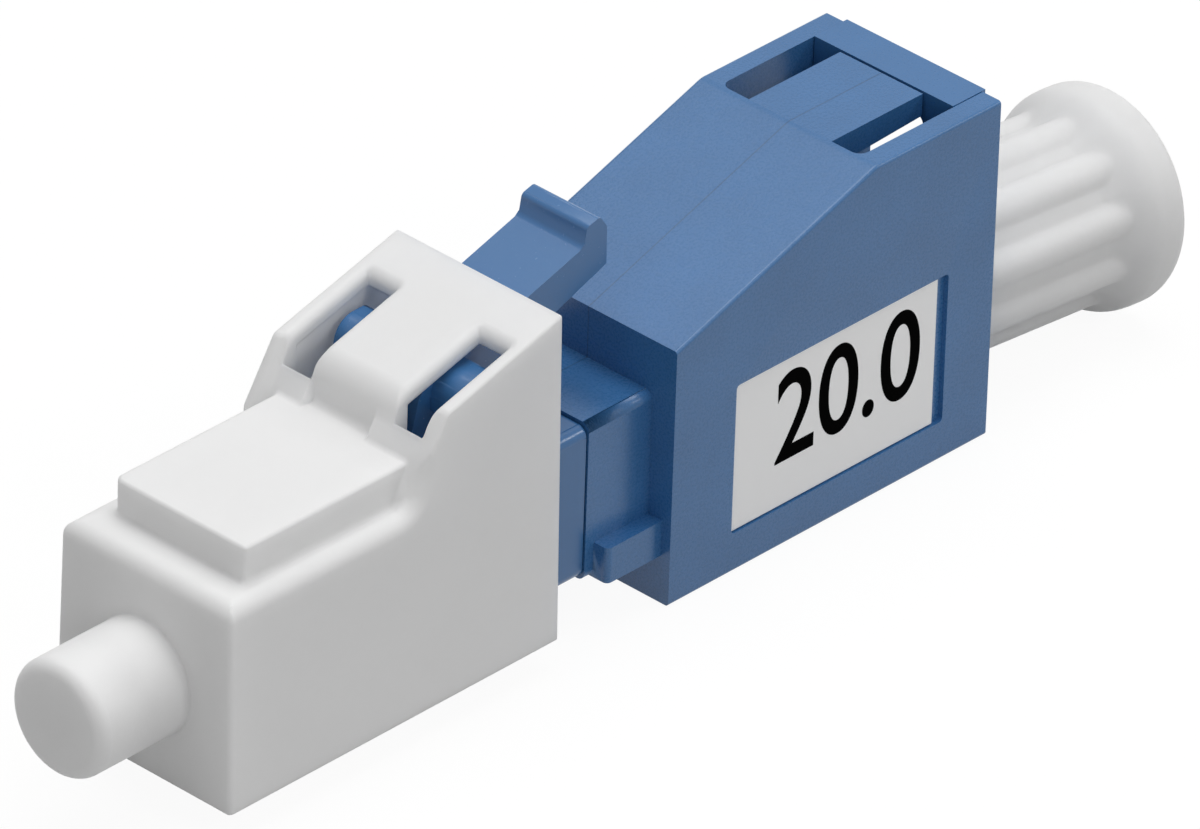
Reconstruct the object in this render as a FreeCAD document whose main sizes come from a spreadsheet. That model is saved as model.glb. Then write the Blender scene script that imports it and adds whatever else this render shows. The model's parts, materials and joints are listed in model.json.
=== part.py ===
import FreeCAD, Part
import math
import os
import re
import Sketcher

# A male to female fibre attenuator with its two dust covers fitted, in millimetres.
# Frame: the origin is the middle of the body's flat underside, +X runs towards the
# female port, -X towards the ferrule's tip, the label is on -Y and +Z is up.

V = FreeCAD.Vector
doc = FreeCAD.newDocument("fibre_attenuator")

SIZES = {
    # body shell: a block whose top slopes down to the latch
    "body_len": (12.0, "block, front face to rear face"),
    "body_wid": (6.2, "block width, one duplex pitch less a gap"),
    "body_high": (10.1, "underside to the flat top"),
    "front_high": (7.64, "underside to the front edge of the slope"),
    "flat_len": (4.7, "flat part of the top, to the rear face"),
    "crest_round": (0.7, "round where the slope meets the flat top"),
    "edge_round": (0.1, "round on the block's long edges"),
    "axis_high": (3.77, "underside to the optical axis"),
    "side_wall": (0.65, "rails beside the latch window"),
    "port_wall": (0.46, "shell beside the port insert"),
    "floor_wall": (0.55, "shell below the port insert"),
    "roof_wall": (0.83, "roof over the latch pocket, at the crest"),
    "roof_thin": (0.66, "roof over the latch pocket, at the bridge's end"),
    "keeper_back": (1.11, "rear face to the keeper plane that holds a latch"),
    "window_len": (3.52, "latch window, ahead of the keeper plane"),
    "window_round": (0.3, "front outer corners of the window"),
    "bridge_wid": (2.9, "tongue between the two window slots"),
    "bridge_gap": (0.08, "tongue's end to the keeper bar"),
    "parting_wid": (0.05, "parting line down the middle of the slope"),
    "parting_deep": (0.02, "depth of the parting line"),
    # collar and side lugs round the plug's root
    "collar_len": (2.33, "collar ahead of the block"),
    "collar_wid": (4.6, "collar width"),
    "collar_high": (4.7, "collar height, centred on the axis"),
    "collar_round": (0.25, "collar's long edges"),
    "lug_len": (2.01, "side lug length"),
    "lug_out": (0.5, "side lug beyond the collar"),
    "lug_high": (1.05, "side lug height"),
    "lug_round": (0.15, "side lug's front corner"),
    # label and its recess on the near side
    "recess_back": (2.3, "block's front face to the recess"),
    "recess_len": (7.97, "recess length"),
    "recess_low": (1.17, "underside to the recess"),
    "recess_high": (4.48, "recess height"),
    "recess_deep": (0.15, "recess depth"),
    "recess_round": (0.12, "recess corners"),
    "label_len": (7.6, "label length"),
    "label_high": (4.4, "label height"),
    "label_thick": (0.09, "label thickness"),
    "label_margin": (0.03, "recess's front end to the label"),
    # plug housing: the square nose and its hidden spigot
    "nose_wid": (4.52, "square nose"),
    "nose_len": (8.57, "nose ahead of the collar"),
    "nose_round": (0.3, "nose's long edges"),
    "nose_chamfer": (0.25, "lead-in round the nose's front face"),
    "seam_gap": (0.05, "joint line between nose and collar"),
    "spigot_wid": (3.86, "square spigot inside the shell"),
    "fit_gap": (0.02, "assembly gap between pieces that stay put"),
    "entry_r": (1.3, "sleeve entry round the ferrule, radius"),
    "entry_len": (3.9, "depth of the sleeve entry"),
    "guide_r": (0.7, "hole that guides the ferrule, radius"),
    "seat_in": (7.3, "nose's front face to the flange seat"),
    "flange_bore_r": (1.4, "bore for flange and spring, radius"),
    # latch arm: root barrel, bend, arm, two shoulders and a thumb tab
    "latch_wid": (2.3, "arm width"),
    "latch_back": (0.8, "nose's front face to the root's axis"),
    "latch_down": (0.23, "nose's top face down to the root's axis"),
    "root_r": (0.4, "root barrel radius"),
    "root_gap": (0.03, "running gap round the root barrel"),
    "root_side": (0.05, "gap at each end of the root barrel"),
    "neck_len": (0.5, "neck above the root barrel"),
    "arm_rise": (16.0, "slope of the arm, degrees"),
    "arm_thick": (1.2, "arm's vertical thickness"),
    "arm_step": (0.74, "underside drop from the thin stretch to the root"),
    "bend_back": (2.75, "root's axis to the bend's top"),
    "tab_ahead": (1.64, "block's front face to the tab's foot"),
    "tab_foot": (10.49, "underside to the arm's top at the tab's foot"),
    "tab_high": (0.71, "tab above its foot"),
    "tab_clear": (0.64, "block's front face to the tab's rear face"),
    "tab_round": (0.16, "round on the tab's top"),
    "shoulder_in": (5.17, "nose's front face to the shoulders' locking face"),
    "shoulder_len": (1.27, "shoulder length"),
    "shoulder_span": (4.55, "over both shoulders"),
    "shoulder_thick": (1.1, "shoulder's height"),
    "shoulder_drop": (0.15, "arm's top at the locking faces down to the shoulders' top"),
    "shoulder_nose": (0.7, "round on the shoulders' front"),
    "shoulder_round": (0.2, "round on the shoulders' rear edge"),
    "arm_bevel": (0.2, "bevel along the arm's lower edges"),
    # ferrule group
    "ferrule_r": (0.6245, "ferrule radius"),
    "tip_out": (2.0, "ferrule beyond the nose"),
    "tip_chamfer": (0.2, "chamfer at both ends of the ferrule"),
    "fibre_r": (0.0625, "doped fibre radius"),
    "fibre_gap": (0.001, "glue film round the fibre"),
    "flange_r": (1.3, "flange radius"),
    "flange_len": (1.2, "flange length"),
    "flange_flat": (1.05, "axis to the flange's keying flats"),
    "hub_r": (0.92, "hub that centres the spring, radius"),
    "hub_len": (1.0, "hub length"),
    "wire_r": (0.11, "spring wire radius"),
    "coil_r": (1.12, "spring coil radius, to the wire's centre"),
    "spring_turns": (4.0, "turns"),
    # sleeve and what holds it
    "sleeve_bore_r": (0.64, "split sleeve's bore, radius"),
    "sleeve_r": (0.8, "split sleeve's outside, radius"),
    "sleeve_len": (6.2, "split sleeve length, half on each side of the contact plane"),
    "sleeve_slit": (0.3, "slit along the sleeve"),
    "sleeve_room": (0.06, "room round the floating sleeve"),
    "sleeve_play": (0.05, "room at each end of the sleeve"),
    "lip_len": (0.3, "lips that trap the sleeve"),
    "lip_r": (0.7, "opening in the lips, radius"),
    "holder_r": (1.25, "sleeve holder's outside, radius"),
    "plate_len": (0.96, "square plate of the holder"),
    # port insert
    "port_wid": (4.66, "square port"),
    "port_room": (0.3, "a mated plug's nose to the port's end wall"),
    "end_wall": (1.0, "port's end wall"),
    "insert_base": (0.28, "insert's top wall beside the latch channel"),
    "channel_wid": (2.86, "latch channel"),
    "channel_top": (9.36, "underside to the top of the latch channel"),
    "channel_round": (0.25, "upper corners of the latch channel"),
    "bar_proud": (0.02, "keeper bar above the flat top"),
    "insert_proud": (0.12, "insert behind the rear face"),
    "mouth_chamfer": (0.2, "lead-in round the port"),
    # dust cap over the plug
    "cap_len": (11.85, "cap, front face to open end"),
    "cap_wid": (6.2, "cap width at its underside"),
    "cap_draft": (1.2, "draft of the cap's sides, degrees"),
    "cap_low": (0.82, "block's underside to the cap's underside"),
    "cap_ahead": (4.1, "block's front face to the cap's open end"),
    "cap_step": (6.85, "top of the cap's front ledge"),
    "cap_beside": (0.24, "room beside the nose inside the cap"),
    "cap_under": (0.09, "room under the nose inside the cap"),
    "cap_front_wall": (0.8, "cap's front wall"),
    "cap_roof": (0.45, "cap's roof over nose and pad"),
    "cap_round": (0.42, "cap's outer edges at the front"),
    "pad_top": (7.9, "top of the raised pad"),
    "pad_wid": (4.6, "raised pad width"),
    "pad_in": (1.16, "cap's front face to the pad"),
    "pad_round": (0.15, "pad's upright corners"),
    "hood_ahead": (2.13, "hood's foot on the ledge, ahead of the latch's bend"),
    "hood_lean": (0.35, "hood's foot to its lip, at the pad's level"),
    "lip_high": (0.53, "hood's front lip above the pad"),
    "lip_back": (0.8, "hood's foot to the lip's top"),
    "hood_over": (0.43, "hood's top at its front, above the latch's bend"),
    "brow_back": (1.27, "hood's foot to the hood's top edge"),
    "hood_rise": (15.3, "slope of the hood, degrees"),
    "hood_wall": (0.45, "hood's thickness, square to its slope"),
    "hood_front": (0.4, "hood's upright front wall"),
    "notch_wid": (2.1, "middle notch in the hood's lip"),
    "notch_back": (0.95, "hood's foot to the notch's rear"),
    "notch_low": (0.43, "hood's top edge down to the notch's upright face"),
    "slot_front": (0.85, "hood's foot to the slots"),
    "slot_len": (3.05, "slot length"),
    "slot_wid": (1.0, "slot width"),
    "slot_mid": (1.95, "middle plane to a slot's middle"),
    "slot_round": (0.2, "slot's upright corners"),
    "stub_r": (1.64, "grip stub radius"),
    "stub_len": (3.13, "grip stub length"),
    "stub_high": (3.6, "underside to the stub's axis"),
    "stub_round": (0.28, "round on the stub's end"),
    # dust plug in the port
    "plug_lean": (4.4, "lean of the plug in its loose port, degrees"),
    "plug_turn": (25.0, "direction of the lean, from straight down towards the label, degrees"),
    "plug_drop": (0.23, "plug's axis below the port's, at the mouth"),
    "stem_wid": (3.8, "square stem inside the port"),
    "stem_len": (2.6, "stem length"),
    "stem_bore_r": (1.45, "hollow of the stem, radius"),
    "stem_bore_len": (2.3, "hollow of the stem, depth"),
    "grip_gap": (0.27, "insert's rear face to the grip, on the plug's axis"),
    "grip_core_r": (2.42, "grip between its ribs, radius"),
    "rib_out": (2.72, "grip over its ribs, radius"),
    "rib_r": (0.56, "rib radius"),
    "rib_len": (5.5, "ribs, from the grip's front face"),
    "rib_count": (10.0, "ribs"),
    "rim_r": (3.07, "end rim radius"),
    "rim_back": (5.45, "grip's front face to the rim"),
    "rim_len": (1.8, "rim thickness"),
    "rim_lead": (0.3, "bevel on the rim's front edge"),
    "rim_round": (0.42, "round on the rim's rear edge"),
    "rim_flare": (0.2, "flare from the grip to the rim"),
}

sheet = doc.addObject("Spreadsheet::Sheet", "sizes")
for row, (alias, (value, note)) in enumerate(SIZES.items(), start=1):
    sheet.set(f"A{row}", note)
    sheet.set(f"B{row}", repr(value))
    sheet.setAlias(f"B{row}", alias)
doc.recompute()

# Places along X, from the block outwards, and the heights that several pieces share.
FRONT = "(0 - body_len / 2)"
REAR = "(body_len / 2)"
CREST = f"({REAR} - flat_len)"
KEEPER = f"({REAR} - keeper_back)"
COLLAR = f"({FRONT} - collar_len)"
NOSE = f"({COLLAR} - nose_len)"
TIP = f"({NOSE} - tip_out)"
CONTACT = f"({KEEPER} - shoulder_in - tip_out)"
PORT_END = f"({KEEPER} - shoulder_in - port_room)"
INSERT = f"({PORT_END} - end_wall)"
PLATE = f"({INSERT} - plate_len)"
SEAT = f"({NOSE} + seat_in)"
SLEEVE_END = f"(sleeve_len / 2 + sleeve_play)"
SPRING_SEAT = f"({CONTACT} - {SLEEVE_END} - lip_len)"
FLANGE = f"({SEAT} + fit_gap)"
INSERT_REAR = f"({REAR} + insert_proud)"
SLOPE = "((body_high - front_high) / (body_len - flat_len))"
NOSE_TOP = "(axis_high + nose_wid / 2)"
INSERT_TOP = "(axis_high + port_wid / 2 + insert_base)"
ROOT_X = f"({NOSE} + latch_back)"
ROOT_Z = f"({NOSE_TOP} - latch_down)"
CAP_REAR = f"({FRONT} - cap_ahead)"
CAP = f"({CAP_REAR} - cap_len)"


def bind(text):
    """Return the expression with each named size read from the sheet."""
    return re.sub(r"[a-z][a-z_]+", lambda m: "sizes." + m.group() if m.group() in SIZES else m.group(), text)


def size(text):
    """Return the present value of an expression in millimetres or degrees."""
    value = sheet.evalExpression(bind(text))
    return float(getattr(value, "Value", value))


def new_body(name, x="0", z="0"):
    """Start a piece whose own origin lies at x, z in the part's frame."""
    body = doc.addObject("PartDesign::Body", name)
    body.Label = name
    if x != "0":
        body.setExpression("Placement.Base.x", bind(x))
    if z != "0":
        body.setExpression("Placement.Base.z", bind(z))
    return body


def origin_part(body, role):
    """Return the origin plane or axis of a body by its role."""
    return next(f for f in body.Origin.OriginFeatures if f.Role == role)


def new_sketch(body, name, plane, offset):
    """Attach a sketch to one of the body's own planes, at an offset along its normal."""
    sketch = body.newObject("Sketcher::SketchObject", name)
    sketch.AttachmentSupport = [(origin_part(body, plane), "")]
    sketch.MapMode = "FlatFace"
    if offset != "0":
        sketch.setExpression("AttachmentOffset.Base.z", bind(offset))
    return sketch


def pin_point(sketch, geometry, end, x, y):
    """Hold one point of a sketch at two named distances from its origin."""
    for kind, text in (("DistanceX", x), ("DistanceY", y)):
        place = sketch.addConstraint(Sketcher.Constraint(kind, -1, 1, geometry, end, size(text)))
        sketch.setExpression(f"Constraints[{place}]", bind(text))


def add_polygon(sketch, corners):
    """Draw a closed outline whose corners are pinned to named sizes."""
    points = [V(size(x), size(y), 0) for x, y in corners]
    first = sketch.GeometryCount
    count = len(points)
    for i in range(count):
        sketch.addGeometry(Part.LineSegment(points[i], points[(i + 1) % count]), False)
    for i in range(count):
        after = first + (i + 1) % count
        sketch.addConstraint(Sketcher.Constraint("Coincident", first + i, 2, after, 1))
    for i, (x, y) in enumerate(corners):
        pin_point(sketch, first + i, 1, x, y)


def add_circle(sketch, x, y, radius):
    """Draw a circle at a pinned centre."""
    geometry = sketch.addGeometry(Part.Circle(V(size(x), size(y), 0), V(0, 0, 1), size(radius)), False)
    pin_point(sketch, geometry, 3, x, y)
    place = sketch.addConstraint(Sketcher.Constraint("Radius", geometry, size(radius)))
    sketch.setExpression(f"Constraints[{place}]", bind(radius))


def rectangle(x0, x1, y0, y1):
    """Return the corners of an upright rectangle."""
    return [(x0, y0), (x1, y0), (x1, y1), (x0, y1)]


def draw(sketch, outlines):
    """Draw circles, given by three texts, and polygons, given by their corners."""
    for outline in outlines:
        if isinstance(outline, tuple):
            add_circle(sketch, *outline)
        else:
            add_polygon(sketch, outline)


def extrude(body, name, plane, outlines, start, end, cut=False):
    """Pad or pocket outlines between two planes that lie square to an axis."""
    across = plane == "XZ_Plane"
    sketch = new_sketch(body, name + "_outline", plane, f"0 - ({start})" if across else start)
    draw(sketch, outlines)
    feature = body.newObject("PartDesign::Pocket" if cut else "PartDesign::Pad", name)
    feature.Profile = sketch
    feature.Reversed = across != cut
    feature.setExpression("Length", bind(f"({end}) - ({start})"))
    sketch.Visibility = False
    doc.recompute()
    return feature


def centred(body, name, outlines, width, cut=False):
    """Pad or pocket side outlines evenly about the middle plane."""
    return extrude(body, name, "XZ_Plane", outlines, f"0 - ({width}) / 2", f"({width}) / 2", cut)


def revolve(body, name, corners, cut=False):
    """Turn a half section about the body's own X axis."""
    sketch = new_sketch(body, name + "_section", "XZ_Plane", "0")
    add_polygon(sketch, corners)
    feature = body.newObject("PartDesign::Groove" if cut else "PartDesign::Revolution", name)
    feature.Profile = sketch
    feature.ReferenceAxis = (origin_part(body, "X_Axis"), [""])
    feature.Angle = 360.0
    doc.recompute()
    return feature


def near(value, text, slack=0.02):
    """Tell whether a coordinate lies at a named place."""
    return abs(value - size(text)) < slack


def dress(body, name, kind, radius, choose):
    """Round or chamfer the edges of the body's last feature that choose accepts."""
    base = body.Tip
    names = []
    for i, edge in enumerate(base.Shape.Edges, start=1):
        middle = edge.CenterOfMass
        box = edge.BoundBox
        if choose(middle, box):
            names.append(f"Edge{i}")
    if not names:
        raise ValueError(f"{name} finds no edge")
    feature = body.newObject("PartDesign::" + kind, name)
    feature.Base = (base, names)
    feature.setExpression("Radius" if kind == "Fillet" else "Size", bind(radius))
    doc.recompute()
    return feature


def along_x(box, least=0.3):
    """Tell whether an edge runs along X."""
    return box.XLength > least and box.YLength < 0.01 and box.ZLength < 0.01


def along_y(box, least=0.3):
    """Tell whether an edge runs along Y."""
    return box.YLength > least and box.XLength < 0.01 and box.ZLength < 0.01


def along_z(box, least=0.3):
    """Tell whether an edge runs along Z."""
    return box.ZLength > least and box.XLength < 0.01 and box.YLength < 0.01


# Body shell: block with a sloping top, then the collar and its two side lugs.
shell = new_body("body_shell")
centred(shell, "block", [[
    (FRONT, "0"), (REAR, "0"), (REAR, "body_high"), (CREST, "body_high"), (FRONT, "front_high"),
]], "body_wid")
dress(shell, "crest_edge", "Fillet", "crest_round",
      lambda c, b: along_y(b) and near(c.x, CREST) and near(c.z, "body_high"))
dress(shell, "long_edges", "Fillet", "edge_round",
      lambda c, b: b.XLength > 0.2 and near(abs(c.y), "body_wid / 2"))
HALF_COLLAR = "collar_high / 2"
extrude(shell, "collar", "YZ_Plane", [rectangle(
    "0 - collar_wid / 2", "collar_wid / 2", f"axis_high - {HALF_COLLAR}", f"axis_high + {HALF_COLLAR}",
)], COLLAR, f"{FRONT} + side_wall")
dress(shell, "collar_edges", "Fillet", "collar_round",
      lambda c, b: along_x(b) and near(abs(c.y), "collar_wid / 2") and c.x < size(FRONT))
LUG_Z = f"(axis_high - {HALF_COLLAR})"
for side, sign in (("near", "0 - "), ("far", "0 + ")):
    extrude(shell, f"lug_{side}", "YZ_Plane", [rectangle(
        f"{sign}(collar_wid / 2 - collar_round - 0.1)", f"{sign}(collar_wid / 2 + lug_out)",
        LUG_Z, f"{LUG_Z} + lug_high",
    )], f"{FRONT} - lug_len", f"{FRONT} + side_wall")
dress(shell, "lug_corners", "Fillet", "lug_round",
      lambda c, b: along_z(b) and near(abs(c.y), "collar_wid / 2 + lug_out")
      and near(c.x, f"{FRONT} - lug_len"))
# The square bore takes the plug's spigot, the wider cavity behind it the port insert.
BORE = "(spigot_wid / 2 + fit_gap)"
extrude(shell, "spigot_bore", "YZ_Plane", [rectangle(
    f"0 - {BORE}", BORE, f"axis_high - {BORE}", f"axis_high + {BORE}",
)], f"{COLLAR} - 1", f"{INSERT} + 0.5", cut=True)
CAVITY = "(body_wid / 2 - port_wall)"
extrude(shell, "insert_cavity", "YZ_Plane", [rectangle(
    f"0 - {CAVITY}", CAVITY, "floor_wall", f"{INSERT_TOP} + fit_gap",
)], INSERT, f"{REAR} + 1", cut=True)
RAIL = "(body_wid / 2 - side_wall)"
centred(shell, "latch_pocket", [[
    (PORT_END, f"{INSERT_TOP} - 0.3"), (f"{REAR} + 1", f"{INSERT_TOP} - 0.3"),
    (f"{REAR} + 1", "body_high - roof_thin"), (KEEPER, "body_high - roof_thin"),
    (CREST, "body_high - roof_wall"),
    (PORT_END, f"body_high - roof_wall - ({CREST} - {PORT_END}) * {SLOPE}"),
]], f"2 * {RAIL}", cut=True)
WINDOW = f"({KEEPER} - window_len)"
BRIDGE = "(bridge_wid / 2)"
extrude(shell, "window", "XY_Plane", [[
    (WINDOW, f"0 - {RAIL}"), (f"{REAR} + 1", f"0 - {RAIL}"), (f"{REAR} + 1", RAIL), (WINDOW, RAIL),
    (WINDOW, BRIDGE), (f"{KEEPER} - bridge_gap", BRIDGE),
    (f"{KEEPER} - bridge_gap", f"0 - {BRIDGE}"), (WINDOW, f"0 - {BRIDGE}"),
]], "body_high - roof_wall - 0.3", "body_high + 1", cut=True)
dress(shell, "window_corners", "Fillet", "window_round",
      lambda c, b: along_z(b, 0.2) and near(c.x, WINDOW) and near(abs(c.y), RAIL))
extrude(shell, "label_recess", "XZ_Plane", [rectangle(
    f"{FRONT} + recess_back", f"{FRONT} + recess_back + recess_len", "recess_low", "recess_low + recess_high",
)], "0 - body_wid / 2 - 1", "0 - body_wid / 2 + recess_deep", cut=True)
dress(shell, "recess_corners", "Fillet", "recess_round",
      lambda c, b: along_y(b, 0.1) and c.y < size("0 - body_wid / 2 + recess_deep"))
# The parting line of the mould runs up the slope and down the front face.
PARTING_FOOT = f"(axis_high + {HALF_COLLAR} + 0.1)"
PARTING_END = f"({CREST} - crest_round / 2)"
centred(shell, "parting_line", [[
    (f"{FRONT} - 1", PARTING_FOOT), (f"{FRONT} + parting_deep", PARTING_FOOT),
    (f"{FRONT} + parting_deep", "front_high - parting_deep"),
    (PARTING_END, f"body_high - parting_deep - crest_round / 2 * {SLOPE}"),
    (PARTING_END, "body_high + 1"), (f"{FRONT} - 1", "body_high + 1"),
]], "parting_wid", cut=True)

# Port insert: the female side, with its keeper bar, latch channel and sleeve tube.
insert = new_body("port_insert")
INSERT_HALF = f"({CAVITY} - fit_gap)"
extrude(insert, "port_block", "YZ_Plane", [rectangle(
    f"0 - {INSERT_HALF}", INSERT_HALF, "floor_wall + fit_gap", INSERT_TOP,
)], INSERT, INSERT_REAR)
extrude(insert, "keeper_bar", "YZ_Plane", [rectangle(
    f"0 - ({RAIL} - fit_gap)", f"{RAIL} - fit_gap", f"{INSERT_TOP} - 0.1", "body_high + bar_proud",
)], KEEPER, INSERT_REAR)
HALF_PORT = "(port_wid / 2)"
extrude(insert, "port", "YZ_Plane", [rectangle(
    f"0 - {HALF_PORT}", HALF_PORT, f"axis_high - {HALF_PORT}", f"axis_high + {HALF_PORT}",
)], PORT_END, f"{INSERT_REAR} + 1", cut=True)
extrude(insert, "channel", "YZ_Plane", [rectangle(
    "0 - channel_wid / 2", "channel_wid / 2", "axis_high", "channel_top",
)], PORT_END, f"{INSERT_REAR} + 1", cut=True)
dress(insert, "channel_corners", "Fillet", "channel_round",
      lambda c, b: along_x(b) and near(c.z, "channel_top"))
dress(insert, "port_mouth", "Chamfer", "mouth_chamfer",
      lambda c, b: near(c.x, INSERT_REAR) and b.XLength < 0.01 and abs(c.y) < size(HALF_PORT) + 0.01
      and c.z < size("axis_high + port_wid / 4") and c.z > size("axis_high - port_wid / 2") - 0.01)
TUBE_END = f"({CONTACT} + {SLEEVE_END} + lip_len)"
extrude(insert, "sleeve_tube", "YZ_Plane", [("0", "axis_high", "holder_r")], f"{PORT_END} - 0.2", TUBE_END)
SLEEVE_ROOM = "(sleeve_r + sleeve_room)"
extrude(insert, "sleeve_bore", "YZ_Plane", [("0", "axis_high", SLEEVE_ROOM)],
        f"{INSERT} - 1", f"{TUBE_END} - lip_len", cut=True)
extrude(insert, "tube_mouth", "YZ_Plane", [("0", "axis_high", "lip_r")], PORT_END, f"{TUBE_END} + 1", cut=True)

# Sleeve holder: the front half of the sleeve's housing, which also seats the spring.
holder = new_body("sleeve_holder", z="axis_high")
HALF_SPIGOT = "(spigot_wid / 2)"
extrude(holder, "plate", "YZ_Plane", [rectangle(
    f"0 - {HALF_SPIGOT}", HALF_SPIGOT, f"0 - {HALF_SPIGOT}", HALF_SPIGOT,
)], PLATE, INSERT)
extrude(holder, "tube", "YZ_Plane", [("0", "0", "holder_r")], SPRING_SEAT, f"{PLATE} + 0.2")
extrude(holder, "sleeve_bore_front", "YZ_Plane", [("0", "0", SLEEVE_ROOM)],
        f"{SPRING_SEAT} + lip_len", f"{INSERT} + 1", cut=True)
extrude(holder, "front_lip", "YZ_Plane", [("0", "0", "lip_r")],
        f"{SPRING_SEAT} - 1", f"{SPRING_SEAT} + lip_len + 0.1", cut=True)

# Split sleeve, centred on the plane where the two ferrules meet.
sleeve = new_body("split_sleeve", x=CONTACT, z="axis_high")
extrude(sleeve, "tube_wall", "YZ_Plane", [("0", "0", "sleeve_r"), ("0", "0", "sleeve_bore_r")],
        "0 - sleeve_len / 2", "sleeve_len / 2")
extrude(sleeve, "slit", "YZ_Plane", [rectangle(
    "0 - sleeve_slit / 2", "sleeve_slit / 2", "0 - sleeve_r - 1", "0",
)], "0 - sleeve_len / 2 - 1", "sleeve_len / 2 + 1", cut=True)

# Plug housing: square nose, spigot, sleeve entry and the bore for flange and spring.
plug = new_body("plug_housing")
NOSE_REAR = f"({COLLAR} - seam_gap)"
extrude(plug, "nose", "YZ_Plane", [rectangle(
    "0 - nose_wid / 2", "nose_wid / 2", "axis_high - nose_wid / 2", NOSE_TOP,
)], NOSE, NOSE_REAR)
dress(plug, "nose_edges", "Fillet", "nose_round", lambda c, b: along_x(b))
dress(plug, "nose_front", "Chamfer", "nose_chamfer", lambda c, b: near(c.x, NOSE))
extrude(plug, "spigot", "YZ_Plane", [rectangle(
    f"0 - {HALF_SPIGOT}", HALF_SPIGOT, f"axis_high - {HALF_SPIGOT}", f"axis_high + {HALF_SPIGOT}",
)], f"{NOSE_REAR} - 0.5", PLATE)
extrude(plug, "sleeve_entry", "YZ_Plane", [("0", "axis_high", "entry_r")],
        f"{NOSE} - 1", f"{NOSE} + entry_len", cut=True)
extrude(plug, "guide_hole", "YZ_Plane", [("0", "axis_high", "guide_r")],
        f"{NOSE} + entry_len - 0.5", f"{SEAT} + 0.5", cut=True)
extrude(plug, "flange_bore", "YZ_Plane", [("0", "axis_high", "flange_bore_r")], SEAT, f"{PLATE} + 1", cut=True)
centred(plug, "root_groove", [(ROOT_X, ROOT_Z, "root_r + root_gap")], "latch_wid + 2 * root_side", cut=True)

# Latch arm: a root barrel in the nose's groove, a bend, the arm, the tab and shoulders.
latch = new_body("latch_arm")
TAB_X = f"({FRONT} - tab_ahead)"
TAB_REAR = f"({FRONT} - tab_clear)"


def arm_top(x):
    """Return the height of the arm's top at x."""
    return f"(tab_foot - ({TAB_X} - {x}) * tan(arm_rise))"


BEND_X = f"({ROOT_X} + bend_back)"
SHOULDER = f"({NOSE} + shoulder_in)"
SHOULDER_FRONT = f"({SHOULDER} - shoulder_len)"
SHOULDER_TOP = f"({arm_top(SHOULDER)} - shoulder_drop)"
extrude(latch, "shoulders", "YZ_Plane", [
    rectangle(inner, outer, f"{SHOULDER_TOP} - shoulder_thick", SHOULDER_TOP)
    for inner, outer in (("0 - shoulder_span / 2", "0 - latch_wid / 2"), ("latch_wid / 2", "shoulder_span / 2"))
], SHOULDER_FRONT, SHOULDER)
dress(latch, "shoulder_noses", "Fillet", "shoulder_nose",
      lambda c, b: along_y(b) and near(c.x, SHOULDER_FRONT) and near(c.z, SHOULDER_TOP))
dress(latch, "shoulder_rears", "Fillet", "shoulder_round",
      lambda c, b: along_y(b) and near(c.x, SHOULDER) and near(c.z, SHOULDER_TOP))
centred(latch, "arm", [[
    (f"{ROOT_X} - neck_len / 2", ROOT_Z), (f"{ROOT_X} + neck_len / 2", ROOT_Z),
    (f"{ROOT_X} + neck_len / 2", f"{NOSE_TOP} + 0.12"), (f"{ROOT_X} + 1.5", f"{NOSE_TOP} + 0.35"),
    (f"{BEND_X} + 0.15", f"{arm_top(BEND_X)} - arm_thick - arm_step"),
    (f"{BEND_X} + 0.95", f"{arm_top(BEND_X + ' + 0.95')} - arm_thick"),
    (f"{TAB_REAR} - 0.22", f"{arm_top(TAB_REAR + ' - 0.22')} - arm_thick - 0.23"),
    (TAB_REAR, f"{arm_top(TAB_REAR)} - arm_thick - 0.08"),
    (f"{TAB_REAR} - 0.03", "tab_foot + tab_high - 0.38"), (f"{TAB_REAR} - 0.3", "tab_foot + tab_high"),
    (f"{TAB_X} + 0.24", "tab_foot + tab_high - 0.12"), (f"{TAB_X} + 0.16", "tab_foot + 0.14"),
    (TAB_X, "tab_foot"), (f"{BEND_X} + 0.15", arm_top(BEND_X + " + 0.15")),
    (f"{BEND_X} - 0.08", f"{arm_top(BEND_X)} - 0.3"),
    (f"{BEND_X} - 0.25", f"{arm_top(BEND_X)} - 1.05"), (f"{BEND_X} - 0.6", f"{arm_top(BEND_X)} - 1.75"),
    (f"{ROOT_X} + 0.5", f"{NOSE_TOP} + 0.75"), (f"{ROOT_X} - neck_len / 2", f"{NOSE_TOP} + 0.42"),
]], "latch_wid")
dress(latch, "arm_bevels", "Chamfer", "arm_bevel",
      lambda c, b: near(abs(c.y), "latch_wid / 2") and b.XLength > 3.5 and c.z < size(arm_top(str(c.x))) - 0.8)
centred(latch, "root", [(ROOT_X, ROOT_Z, "root_r")], "latch_wid")
dress(latch, "tab_edges", "Fillet", "tab_round",
      lambda c, b: along_y(b, 1.5) and c.z > size("tab_foot + tab_high") - 0.45)

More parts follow.
